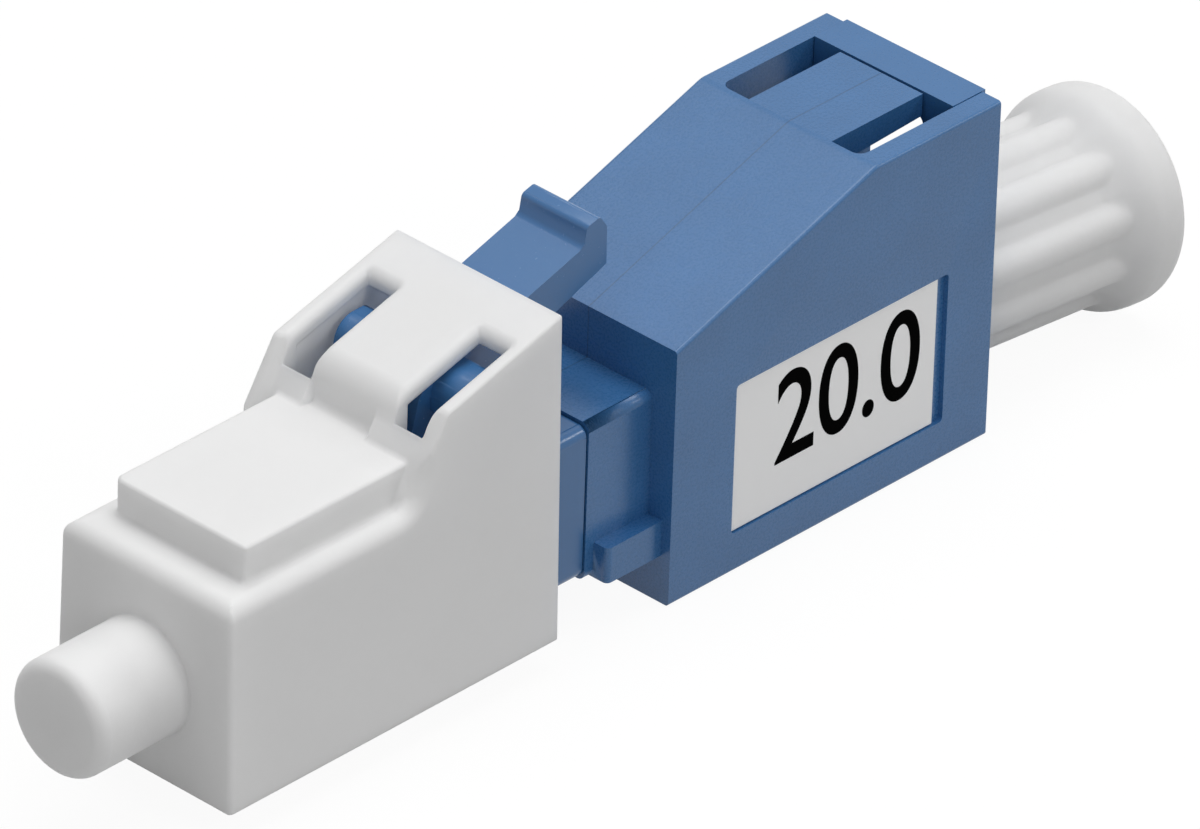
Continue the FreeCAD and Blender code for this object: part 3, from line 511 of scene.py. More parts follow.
@dataclass
class Rounded:
    """A CAD piece whose sharp edges get the small radius of a real moulding.

    room is the least width of a face, in radii, that still takes a rounded edge. parting is
    the depth of the piece's parting groove, and its points lie within reach times that depth
    of the middle plane.
    """

    node: str
    body: str
    slot: str
    finish: Plastic
    radius: float
    steps: int = 4
    room: float = 2.2
    reach: float = 1.2
    parting: float = 0.0

    def level_parting(self, work: bmesh.types.BMesh) -> None:
        """Weld the parting groove's floor onto its rims, because the finish paints the groove's shade as a
        dark line.

        A floor point's rim lies within the groove's depth of it, and higher or further forward.

        Args:
            work: the merged mesh.
        """
        near = [vert for vert in work.verts if abs(vert.co.y) < self.reach * self.parting * MM]
        pairs = {}
        for low in near:
            for high in near:
                gap = (high.co - low.co).length
                above = (high.co.z - low.co.z) - (high.co.x - low.co.x)
                if 0.0 < gap < self.parting * MM and above > 0.0:
                    pairs[low] = high
        bmesh.ops.weld_verts(work, targetmap=pairs)

    def mark_edges(self, work: bmesh.types.BMesh) -> int:
        """Mark the sharp edges that are long enough for the radius and lie between wide faces.

        A face's width is taken as twice its area over its perimeter.

        Args:
            work: the merged mesh.

        Returns:
            How many edges are marked.
        """
        weight = work.edges.layers.float.new("bevel_weight_edge")
        least = self.room * self.radius * MM
        marked = 0
        for edge in work.edges:
            if not edge.is_manifold or edge.calc_face_angle() < SHARP:
                continue
            widths = [2 * face.calc_area() / face.calc_perimeter() for face in edge.link_faces]
            if min(widths) > least and edge.calc_length() > least:
                edge[weight] = 1.0
                marked += 1
        return marked

    def build(self, frame: dict[str, Any]) -> bpy.types.Object:
        """Merge a copy of the node's triangles and round its edges.

        The widest face at a corner sets the normal there, so that flat faces shade flat.

        Args:
            frame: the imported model.

        Returns:
            The new piece, which stands for the node.
        """
        mesh = frame["nodes"][self.node].data.copy()
        work = bmesh.new()
        work.from_mesh(mesh)
        bmesh.ops.remove_doubles(work, verts=work.verts, dist=COPY_DOUBLES * MM)
        if self.parting:
            self.level_parting(work)
        bmesh.ops.dissolve_limit(
            work, angle_limit=FLAT, verts=work.verts, edges=work.edges, use_dissolve_boundaries=False,
        )
        marked = self.mark_edges(work)
        work.to_mesh(mesh)
        work.free()
        mesh.shade_smooth()
        mesh.set_sharp_from_angle(angle=SHARP)
        piece = add_object(self.node + "_moulded", mesh)
        bevel = piece.modifiers.new("edge radius", "BEVEL")
        bevel.width = self.radius * MM
        bevel.segments = self.steps
        bevel.limit_method = "WEIGHT"
        bevel.use_clamp_overlap = True
        bevel.miter_outer = "MITER_ARC"
        level = piece.modifiers.new("flat faces", "WEIGHTED_NORMAL")
        level.keep_sharp = True
        level.weight = 100
        dress(piece, self.finish)
        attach(piece, self.body)
        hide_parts(self.node)
        log.info("%s: %d faces, %d edges rounded", piece.name, len(mesh.polygons), marked)
        return piece


def round_max(a: np.ndarray, b: np.ndarray, radius: Any) -> np.ndarray:
    """Return where two solids overlap, as a distance, with the outer edge between them rounded.

    min(max(a, b), -r) + |max(a + r, 0), max(b + r, 0)| is a true round where a and b are
    distances to two square faces.

    Args:
        a: distance to the first solid, below 0 inside it.
        b: distance to the second.
        radius: the round's radius r, above 0.

    Returns:
        The overlap's distance.
    """
    beyond = np.hypot(np.maximum(a + radius, 0.0), np.maximum(b + radius, 0.0))
    return np.minimum(np.maximum(a, b), -radius) + beyond


def round_min(a: np.ndarray, b: np.ndarray, radius: Any) -> np.ndarray:
    """Return two solids joined, with the inner corner between them filled by a round."""
    return -round_max(-a, -b, radius)


def ease(value: np.ndarray, low: float, high: float) -> np.ndarray:
    """Return 3 t^2 - 2 t^3, which climbs from 0 at low to 1 at high."""
    t = np.clip((value - low) / (high - low), 0.0, 1.0)
    return t * t * (3.0 - 2.0 * t)


def grown(radii: Pair, share: np.ndarray) -> np.ndarray:
    """Return a pair's first radius plus a share of the second."""
    return radii[0] + radii[1] * share


def graded(low: float, high: float, coarse: float, close: Stretches) -> np.ndarray:
    """Return increasing places that crowd where detail lies.

    The step is the smallest of coarse and, for each close stretch, its own step plus a
    quarter of the distance from it. Places are read off the running sum of 1 / step.

    Args:
        low: the first place.
        high: the last place.
        coarse: the widest step.
        close: stretches as start, end and step.

    Returns:
        The places.
    """
    fine = np.linspace(low, high, 20001)
    step = np.full_like(fine, coarse)
    for start, end, width in close:
        away = np.maximum(0.0, np.maximum(start - fine, fine - end))
        step = np.minimum(step, width + 0.25 * away)
    count = np.concatenate([[0.0], np.cumsum((fine[1] - fine[0]) / step[:-1])])
    total = int(math.ceil(count[-1]))
    return np.interp(np.linspace(0.0, count[-1], total + 1), count, fine)


def surface_net(points: np.ndarray, level: np.ndarray) -> tuple[np.ndarray, np.ndarray]:
    """Find the surface where a level changes sign on a lattice.

    Every cell with corners on both sides gets one point, the mean of the crossings on its
    edges, and every crossed lattice edge gets a quad through the four cells round it, wound
    so that it faces the side above 0.

    Args:
        points: lattice points, n by m by k by 3.
        level: the level at each point, n by m by k, above 0 on the lattice's border.

    Returns:
        Points, p by 3, and quads, q by 4.
    """
    inside = level < 0.0
    cells = tuple(size - 1 for size in level.shape)
    total = np.zeros((*cells, 3))
    count = np.zeros(cells, np.int32)
    walls = []
    for axis in range(3):
        near = [slice(None)] * 3
        far = [slice(None)] * 3
        near[axis], far[axis] = slice(0, -1), slice(1, None)
        near, far = tuple(near), tuple(far)
        crossed = inside[near] != inside[far]
        share = np.where(crossed, level[near] / np.where(crossed, level[near] - level[far], 1.0), 0.0)
        place = (points[near] + share[..., None] * (points[far] - points[near])) * crossed[..., None]
        b, c = [other for other in range(3) if other != axis]
        for up_b in (0, 1):
            for up_c in (0, 1):
                part = [slice(None)] * 3
                part[b] = slice(up_b, cells[b] + up_b)
                part[c] = slice(up_c, cells[c] + up_c)
                total += place[tuple(part)]
                count += crossed[tuple(part)]
        walls.append((axis, b, c, np.argwhere(crossed), inside[near][crossed]))
    used = count > 0
    index = np.full(cells, -1, np.int64)
    index[used] = np.arange(int(used.sum()))
    quads = []
    for axis, b, c, edge, solid_first in walls:
        corners = []
        for down_b, down_c in ((1, 1), (0, 1), (0, 0), (1, 0)):
            cell = edge.copy()
            cell[:, b] -= down_b
            cell[:, c] -= down_c
            corners.append(index[tuple(cell.T)])
        quad = np.stack(corners, axis=-1)
        forward = solid_first if axis != 1 else ~solid_first
        quads.append(np.where(forward[:, None], quad, quad[:, ::-1]))
    return total[used] / count[used][:, None], np.concatenate(quads)


@dataclass
class DustCap:
    """The white dust cap: one soft moulding with pad, lips, hood, slots and grip stub.

    Its shape is a distance field, below 0 in the plastic, put together from flat faces and
    rounds. Lengths are measured from the cap's front face, x, and from the part's frame, y, z.
    A leaning face is given by where it starts and its angle, a slot or a blend by where it
    starts and ends, and a radius that grows by the least one and how much it gains.
    """

    front_at: float = -21.95
    length: float = 11.85
    half_wide: float = 3.1
    low: float = 0.82
    draft: float = math.radians(1.2)
    ledge: float = 6.85
    edge: float = 0.05
    outer_round: float = 0.45
    corner_round: float = 0.14
    cheek_round: float = 0.07
    near_side: Pair = (-0.5, 0.5)
    near_fade: Pair = (7.6, 8.6)
    far_fade: Pair = (7.0, 7.5)
    # The pad on the ledge, and the ledge's fillet.
    pad_front: float = 1.16
    pad_back: float = 7.6
    pad_half: float = 2.3
    pad_top: float = 7.9
    pad_round: Pair = (0.10, 0.15)
    pad_rounder: Pair = (0.0, 1.0)
    ledge_fillet: Pair = (0.12, 0.15)
    ledge_wider: Pair = (6.2, 6.8)
    # The hood, with its cheeks, lips, notch, bridge and slots.
    hood_fillet: float = 0.36
    hood_foot: Pair = (7.1, 7.7)
    crease: Pair = (0.10, 0.15)
    brow: Pair = (7.74, 9.283)
    rise: float = math.radians(15.3)
    cheek: Pair = (6.93, math.radians(60.0))
    cheek_blend: Pair = (2.25, 2.60)
    cheek_brow: float = 0.08
    far_cheek: float = 0.25
    far_blend: Pair = (2.35, 2.80)
    lip: Pair = (6.95, math.radians(68.0))
    lip_top: Place = (7.32, 8.68, math.radians(40.0))
    lip_round: float = 0.35
    notch: Pair = (-0.74, 1.36)
    notch_soft: Pair = (0.12, 0.09)
    notch_deep: float = 0.6
    near_wall: tuple[float, float, float, float] = (6.92, -2.25, math.radians(8.0), math.radians(20.0))
    wall_blend: Pair = (-2.1, -1.4)
    wall_fall: float = 3.0
    bridge_front: float = 7.34
    bridge_round: float = 0.6
    bridge_fillet: Pair = (0.12, 0.12)
    slot_x: Pair = (7.32, 10.37)
    slot_y: Pair = (1.45, 2.45)
    slot_floor: float = 7.675
    slot_round: Pair = (0.07, 0.19)
    slot_rounder: Pair = (7.36, 7.80)
    # The room inside.
    inside_half: float = 2.5
    inside_floor: float = 1.42
    inside_front: float = 0.8
    inside_roof: float = 6.4
    hood_wall: float = 0.45
    hood_back: float = 7.82
    pad_room: tuple[float, float, float, float] = (1.61, 7.92, 1.85, 7.45)
    room_lap: float = 0.3
    mouth_edge: float = 0.03
    # The grip stub: length, radius, height and the round at its end.
    stub: tuple[float, float, float, float] = (3.13, 1.64, 3.6, 0.36)
    stub_root: float = 0.4
    # The net, its finer stretches and how its layers bend.
    probe: float = 0.001
    newton_steps: int = 4
    longest_step: float = 0.04
    least_slant: float = 0.2
    coarse: Place = (0.22, 0.17, 0.19)
    fine_stub: Stretches = ((-3.15, -2.88, 0.055), (-0.08, -0.05, 0.05))
    fine_along: Stretches = (
        (-0.02, 0.36, 0.07), (1.13, 1.32, 0.035), (6.44, 7.95, 0.042), (10.08, 10.41, 0.045),
        (11.80, 11.87, 0.03),
    )
    fine_across: Stretches = ((0.95, 1.56, 0.05), (2.42, 3.12, 0.045))
    fine_upward: Stretches = (
        (0.80, 0.88, 0.04), (6.42, 6.88, 0.055), (7.86, 7.93, 0.03), (7.93, 9.24, 0.05),
    )
    margin: float = 0.12
    net_half: float = 3.22
    net_top: float = 9.36
    bend: Place = (7.5, 6.6, 1.4)

    def slope(self, x: np.ndarray, z: np.ndarray) -> np.ndarray:
        """Return the distance above the hood's sloping top."""
        return (z - self.brow[1]) * math.cos(self.rise) - (x - self.brow[0]) * math.sin(self.rise)

    def in_notch(self, y: np.ndarray) -> np.ndarray:
        """Return 1 between the lips' inner ends and 0 on the lips."""
        (near, far), (soft, softer) = self.notch, self.notch_soft
        return ease(y, near - soft, near + soft) * (1.0 - ease(y, far - softer, far + softer))

    def hood(self, x: np.ndarray, y: np.ndarray, z: np.ndarray) -> np.ndarray:
        """Return the distance to the hood without its sides and slots.

        A low lip lies before each slot and gives way to the notch before the bridge. The
        bridge between the slots has an upright front and a wide round above it. The cheeks
        outside the slots lean back in one plane, and a wall set askew cuts the near one's foot.

        Args:
            x: how far behind the cap's front face.
            y: across, in the part's frame.
            z: height, in the part's frame.

        Returns:
            The distance, below 0 inside.
        """
        at, lean = self.lip
        high = z - self.pad_top
        steep = high * math.cos(lean) - (x - at) * math.sin(lean)
        edge_x, edge_z, flat = self.lip_top
        shelf = (z - edge_z) * math.cos(flat) - (x - edge_x) * math.sin(flat)
        lips = round_max(steep, shelf, self.lip_round) + self.notch_deep * self.in_notch(y)
        bridge = self.bridge_front - x
        middle = round_min(lips, bridge, grown(self.bridge_fillet, self.in_notch(y)))
        at, lean = self.cheek
        behind = x - at + self.far_cheek * ease(y, *self.far_blend)
        cheek = high * math.cos(lean) - behind * math.sin(lean)
        outer = ease(np.abs(y), *self.cheek_blend)
        front = middle + (cheek - middle) * outer
        brow = self.bridge_round - (self.bridge_round - self.cheek_brow) * outer
        front = round_max(front, self.slope(x, z), brow)
        wall_x, wall_y, askew, back = self.near_wall
        wall = (wall_x - x + high * math.tan(back)) * math.cos(askew) + (wall_y - y) * math.sin(askew)
        return round_max(front, wall - self.wall_fall * ease(y, *self.wall_blend), self.edge)

    def outside(self, x: np.ndarray, y: np.ndarray, z: np.ndarray) -> np.ndarray:
        """Return the distance to the cap as if it were solid, with its slots cut.

        The sides take the draft, the pad and the hood stand on the ledge with soft roots, and
        the round along the top edges narrows where the hood's cheeks begin.

        Args:
            x: how far behind the cap's front face.
            y: across, in the part's frame.
            z: height, in the part's frame.

        Returns:
            The distance, below 0 inside.
        """
        half = self.half_wide - (z - self.low) * math.tan(self.draft)
        side = (np.abs(y) - half) * math.cos(self.draft)
        upright = grown(self.pad_round, ease(y, *self.pad_rounder))
        pad = round_max(self.pad_front - x, np.abs(y) - self.pad_half, upright)
        pad = round_max(np.maximum(pad, x - self.pad_back), z - self.pad_top, self.pad_round[0])
        top = round_min(z - self.ledge, pad, grown(self.ledge_fillet, ease(x, *self.ledge_wider)))
        crease = grown(self.crease, self.in_notch(y))
        root = self.hood_fillet - (self.hood_fillet - crease) * ease(z, *self.hood_foot)
        body = round_min(top, self.hood(x, y, z), root)
        near, far = ease(z, *self.near_fade), ease(z, *self.far_fade)
        fade = far + (near - far) * ease(-y, *self.near_side)
        wall = round_max(side, -x, self.corner_round)
        body = round_max(body, wall, self.outer_round - (self.outer_round - self.cheek_round) * fade)
        slot = np.maximum(self.slot_x[0] - x, x - self.slot_x[1])
        slot = round_max(slot, np.maximum(self.slot_y[0] - np.abs(y), np.abs(y) - self.slot_y[1]), self.edge)
        slot = np.maximum(slot, self.slot_floor - z)
        body = round_max(body, -slot, grown(self.slot_round, ease(x, *self.slot_rounder)))
        length, radius, high, end = self.stub
        stub = round_max(np.hypot(y, z - high) - radius, -length - x, end)
        body = round_min(body, np.maximum(stub, x - self.stub_root), self.edge)
        return round_max(round_max(body, x - self.length, self.edge), self.low - z, self.edge)

    def inside(self, x: np.ndarray, y: np.ndarray, z: np.ndarray) -> np.ndarray:
        """Return the distance to the room inside the cap, which is open at its rear end.

        The room is that of the nose, joined to the latch's under the hood and to the pad's.

        Args:
            x: how far behind the cap's front face.
            y: across, in the part's frame.
            z: height, in the part's frame.

        Returns:
            The distance, below 0 in the room.
        """
        across = np.maximum(np.abs(y) - self.inside_half, self.inside_floor - z)
        nose = np.maximum(np.maximum(self.inside_front - x, z - self.inside_roof), across)
        latch = np.maximum(np.maximum(self.hood_back - x, self.slope(x, z) + self.hood_wall), across)
        start, end, half, top = self.pad_room
        pad = np.maximum(np.maximum(start - x, x - end), np.maximum(np.abs(y) - half, z - top))
        return np.minimum(np.minimum(nose, latch), np.maximum(pad, self.inside_roof - self.room_lap - z))

    def level(self, points: np.ndarray) -> np.ndarray:
        """Return the field at points, whose last axis holds x, y, z in the cap's lengths."""
        x, y, z = points[..., 0], points[..., 1], points[..., 2]
        return round_max(self.outside(x, y, z), -self.inside(x, y, z), self.mouth_edge)

    def slant(self, points: np.ndarray) -> np.ndarray:
        """Return the field's gradient by central differences, a probe's length to each side.

        Args:
            points: places whose last axis holds x, y, z.

        Returns:
            The gradient at each, in the same shape.
        """
        parts = []
        for axis in range(3):
            step = np.zeros(3)
            step[axis] = self.probe
            parts.append((self.level(points + step) - self.level(points - step)) / (2 * self.probe))
        return np.stack(parts, axis=-1)

    def lattice(self) -> np.ndarray:
        """Return the lattice, bent so that its layers follow the moulding.

        Across, it narrows with the draft. Upwards, layers turn into the hood's slope behind
        its brow: z = w + t tan(rise) (x - x0), with t climbing from 0 at w0 to 1 at w0 + dw.

        Returns:
            The points, lengthwise by across by upwards by 3.
        """
        stub = graded(-self.stub[0] - self.margin, self.fine_stub[-1][1], self.coarse[0], self.fine_stub)
        along = graded(self.fine_along[0][0], self.length + self.margin, self.coarse[0], self.fine_along)
        half = graded(0.0, self.net_half, self.coarse[1], self.fine_across)
        w = graded(self.low - self.margin, self.net_top, self.coarse[2], self.fine_upward)
        x = np.concatenate([stub, along])
        v = np.concatenate([-half[:0:-1], half])
        x, v, w = np.meshgrid(x, v, w, indexing="ij")
        x0, w0, dw = self.bend
        bend = np.clip((w - w0) / dw, 0.0, 1.0) * math.tan(self.rise)
        z = w + bend * np.maximum(0.0, x - x0)
        y = v * (1.0 - (z - self.low) * math.tan(self.draft) / self.half_wide)
        return np.stack([x, y, z], axis=-1)

    def surface(self) -> tuple[np.ndarray, np.ndarray, np.ndarray]:
        """Work out the moulding's surface.

        The net's points are moved onto the field's zero level by a few short Newton steps,
        and the normals are its gradient there.

        Returns:
            Points in the part's frame, quads and normals.
        """
        lattice = self.lattice()
        points, quads = surface_net(lattice, self.level(lattice))
        for _ in range(self.newton_steps):
            slant = self.slant(points)
            size = np.maximum((slant ** 2).sum(-1), self.least_slant)
            step = np.clip(self.level(points) / size, -self.longest_step, self.longest_step)
            points = points - step[:, None] * slant
        slant = self.slant(points)
        normals = slant / np.maximum(np.linalg.norm(slant, axis=-1), 1e-9)[:, None]
        return points + np.array([self.front_at, 0.0, 0.0]), quads, normals

    def build(self) -> bpy.types.Object:
        """Make the cap.

        Returns:
            The cap, with its finish, in the CAD cap's place.
        """
        points, quads, normals = self.surface()
        mesh = bpy.data.meshes.new("dust_cap_moulded")
        mesh.from_pydata((points * MM).tolist(), [], quads.tolist())
        mesh.shade_smooth()
        mesh.normals_split_custom_set_from_vertices(normals.tolist())
        piece = add_object("dust_cap_moulded", mesh)
        dress(piece, WHITE_CAP)
        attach(piece, "cap")
        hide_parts("dust_cap")
        log.info("%s: %d faces", piece.name, len(mesh.polygons))
        return piece


@dataclass
class DustPlug:
    """The milky dust plug: hollow square stem, ten soft ribs and a thick end rim.

    It is made along its own axis, x from the port's mouth, and then leans by lean degrees
    about the mouth's middle, turn degrees from straight down towards the label's side.
    """

    mouth: float = 6.12
    axis_high: float = 3.54
    lean: float = 4.4
    turn: float = 25.0
    # The square stem and its round bore.
    stem_half: float = 1.9
    stem_corner: float = 0.3
    stem_len: float = 2.6
    stem_edge: float = 0.1
    stem_foot: float = 0.05
    bore: float = 1.45
    bore_end: float = -0.3
    bore_edge: float = 0.08
    # The ribbed grip, which starts a gap behind the port's mouth.
    gap: float = 0.27
    core: float = 2.42
    rib_out: float = 2.72
    rib: float = 0.56
    ribs: int = 10
    rib_len: float = 6.1
    rib_start: float = 0.15
    rib_sunk: float = 0.02
    rib_taper: float = 1.35
    rib_root: float = 0.10
    rib_reach: float = 0.6
    ribbed_from: float = 0.1
    ribbed_to: float = 0.95
    grip_edge: float = 0.12
    # The flare and the rim.
    rim_at: float = 5.72
    rim_len: float = 1.8
    rim: float = 3.07
    flare_at: float = 5.1
    lip_len: float = 0.9
    lip_end: float = 0.45
    end_round: float = 0.42
    end_flat: float = 0.5
    # How far a run stops short of the next, and the margin that tells their points apart.
    short: float = 0.03
    hair: float = 0.01
    sharp: float = math.radians(50)
    columns: int = 360

    def outline(self) -> np.ndarray:
        """Return the half section's path from the bore's bottom round to the end's middle.

        Straight runs, the flare and the round are sampled evenly, and the gaps between them
        are the edges' small chamfers.

        Returns:
            Rows of x and radius.
        """
        tip = -self.stem_len
        end = self.rim_at + self.rim_len
        runs = [
            self.run((self.bore_end, 0.0), (self.bore_end, self.bore), 8),
            self.run((self.bore_end, self.bore), (tip + self.bore_edge, self.bore), 6),
            self.run((tip, self.bore + self.bore_edge), (tip, self.stem_half - self.stem_edge), 4),
            self.run((tip + self.stem_edge, self.stem_half), (self.gap - self.short, self.stem_half), 8),
            self.run((self.gap, self.stem_half + self.stem_foot), (self.gap, self.core - self.grip_edge), 4),
            self.run((self.gap + self.grip_edge, self.core), (self.flare_at - self.short, self.core), 60),
            self.flare(end - self.lip_len, 30),
            self.run((end - self.lip_len + self.grip_edge, self.rim), (end - self.lip_end, self.rim), 4),
            self.arc(end - self.end_round, self.rim - self.end_round, self.end_round, 12),
            self.run((end, self.rim - self.end_flat), (end, 0.0), 10),
        ]
        return np.concatenate(runs)

    @staticmethod
    def run(start: tuple[float, float], end: tuple[float, float], count: int) -> np.ndarray:
        """Return evenly spaced points on a straight run."""
        return np.linspace(start, end, count)

    def flare(self, end: float, count: int) -> np.ndarray:
        """Return the flare, where the radius climbs from the core's to the rim's by 3 t^2 - 2 t^3.

        Args:
            end: where it ends.
            count: how many points it has.

        Returns:
            Rows of x and radius.
        """
        t = np.linspace(0, 1, count)
        rise = (self.rim - self.core) * t * t * (3 - 2 * t)
        return np.stack([self.flare_at + (end - self.flare_at) * t, self.core + rise], axis=-1)

    @staticmethod
    def arc(x: float, r: float, radius: float, count: int) -> np.ndarray:
        """Return a quarter round from the outside to the end, about the centre x, r."""
        angle = np.linspace(0, math.pi / 2, count)
        return np.stack([x + radius * np.sin(angle), r + radius * np.cos(angle)], axis=-1)

    def square(self, angle: np.ndarray, half: np.ndarray) -> np.ndarray:
        """Return the polar radius of a square with rounded corners.

        On a flat it is half / c, and on a corner b (c + s) + sqrt(k^2 - b^2 (c - s)^2), with c
        and s the larger and smaller of cos and sin, k the corner's radius and b = half - k.

        Args:
            angle: direction round the axis.
            half: half the square's width there.

        Returns:
            The radius.
        """
        c = np.maximum(np.abs(np.cos(angle)), np.abs(np.sin(angle)))
        s = np.minimum(np.abs(np.cos(angle)), np.abs(np.sin(angle)))
        inner = half - self.stem_corner
        flat = half / c
        corner = inner * (c + s) + np.sqrt(np.maximum(0.0, self.stem_corner ** 2 - (inner * (c - s)) ** 2))
        return np.where(flat * s <= inner, flat, corner)

    def ribbed(self, x: np.ndarray, angle: np.ndarray, radius: np.ndarray) -> np.ndarray:
        """Return the grip's radius with its ribs.

        A rib is a bar of radius rib about a line at distance a from the axis, with a ball end:
        a cos(t) + sqrt(rib^2 - (a sin t)^2 - d^2), t the angle from the rib and d the distance
        past the ball's centre. A smooth maximum joins it to the core with a soft root.

        Args:
            x: place along the axis.
            angle: direction round it.
            radius: the plain radius there.

        Returns:
            The ribbed radius.
        """
        pitch = 2 * math.pi / self.ribs
        t = (angle + pitch / 2) % pitch - pitch / 2
        a = self.rib_out - self.rib
        past = np.maximum(0.0, x - (self.gap + self.rib_len - self.rib_taper * self.rib)) / self.rib_taper
        ahead = np.maximum(0.0, self.gap + self.rib_start - x)
        room = np.maximum(0.0, self.rib ** 2 - (a * np.sin(t)) ** 2 - past ** 2 - ahead ** 2)
        bar = a * np.cos(t) + np.sqrt(room) - self.rib_sunk
        soft = self.rib_root
        rise = bar - radius
        joined = radius + 0.5 * (rise + np.sqrt(rise ** 2 + soft ** 2))
        return joined - 0.5 * soft * np.exp(-np.abs(rise) / self.rib_reach)

    def points(self) -> np.ndarray:
        """Return the surface, turned to the plug's lean.

        Returns:
            Rings along the outline by columns round the axis by 3, in the part's frame.
        """
        path = self.outline()
        x = np.repeat(path[:, :1], self.columns, axis=1)
        radius = np.repeat(path[:, 1:], self.columns, axis=1)
        angle = np.broadcast_to(np.linspace(0, 2 * math.pi, self.columns, endpoint=False), x.shape)
        on_stem = (x < self.gap - self.hair) & (radius > self.bore + self.bore_edge + self.hair)
        square = self.square(angle, np.minimum(radius, self.stem_half))
        radius = np.where(on_stem, square, radius)
        on_grip = (x > self.gap + self.ribbed_from) & (x < self.rim_at + self.ribbed_to)
        radius = np.where(on_grip, self.ribbed(x, angle, radius), radius)
        local = np.stack([x, radius * np.sin(angle), radius * np.cos(angle)], axis=-1)
        across = math.radians(self.turn)
        axis = (0.0, math.cos(across), -math.sin(across))
        lean = np.array(Matrix.Rotation(math.radians(self.lean), 3, axis))
        return local @ lean.T + np.array([self.mouth, 0.0, self.axis_high])

    def build(self) -> bpy.types.Object:
        """Make the plug.

        Returns:
            The plug, with its finish, in the CAD plug's place.
        """
        piece = grid_mesh("dust_plug_moulded", self.points())
        piece.data.set_sharp_from_angle(angle=self.sharp)
        dress(piece, MILKY_PLUG)
        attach(piece, "plug")
        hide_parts("dust_plug")
        log.info("%s: %d faces", piece.name, len(piece.data.polygons))
        return piece


@dataclass
class Numeral:
    """The plain numeral printed on the label."""

    body: str = "20.0"
    face: float = -3.04
    high: float = 2.7
    squeeze: float = 0.86
    at: Pair = (0.62, 2.5)
    bold: float = 0.008
    ink: float = 0.006
    sunk: float = 0.01
    curve_steps: int = 16

    def print_mesh(self) -> bpy.types.Mesh:
        """Make the numeral's mesh, which stands proud of the label by the ink's thickness.

        The text is extruded a little to tell its front from its back, and both are then set.

        Returns:
            The mesh, closed, its back just under the label's face.
        """
        text = bpy.data.curves.new("numeral_outline", "FONT")
        text.body = self.body
        text.size = 1.0
        text.extrude = 0.001
        text.offset = self.bold
        text.resolution_u = self.curve_steps
        shape = bpy.data.objects.new("numeral_outline", text)
        mesh = bpy.data.meshes.new_from_object(shape)
        flat = np.zeros(len(mesh.vertices) * 3, np.float32)
        mesh.vertices.foreach_get("co", flat)
        flat = flat.reshape(-1, 3)
        low, high = flat.min(0), flat.max(0)
        scale = self.high / (high[1] - low[1])
        across = (flat[:, 0] - (low[0] + high[0]) / 2) * scale * self.squeeze + self.at[0]
        upward = (flat[:, 1] - low[1]) * scale + self.at[1]
        inward = np.where(flat[:, 2] > 0, self.face - self.ink, self.face + self.sunk)
        placed = np.stack([across, inward, upward], axis=-1) * MM
        mesh.vertices.foreach_set("co", placed.astype(np.float32).ravel())
        mesh.update()
        bpy.data.objects.remove(shape)
        close_mesh(mesh, COPY_DOUBLES)
        return mesh

    def build(self) -> bpy.types.Object:
        """Make the print.

        Returns:
            The numeral, with its finish.
        """
        numeral = add_object("label_numeral", self.print_mesh())
        dress(numeral, PRINT_INK)
        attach(numeral, "attenuator")
        log.info("label: numeral %s", self.body)
        return numeral


@dataclass
class Optics:
    """The inner pieces, whose CAD shapes are right and only get their finishes."""

    finishes: dict[str, Union[Plastic, Turned, Polished]] = field(default_factory=lambda: {
        "sleeve_holder": BLUE_INSERT,
        "split_sleeve": ZIRCONIA,
        "ferrule": ZIRCONIA,
        "doped_fibre": FIBRE_GLASS,
        "ferrule_flange": NICKEL,
        "spring": SPRING_STEEL,
    })

    def build(self, frame: dict[str, Any]) -> None:
        """Dress each inner node.

        Args:
            frame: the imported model.
        """
        for node, finish in self.finishes.items():
            dress(frame["nodes"][node], finish)
            log.info("%s: %s", node, finish.name)


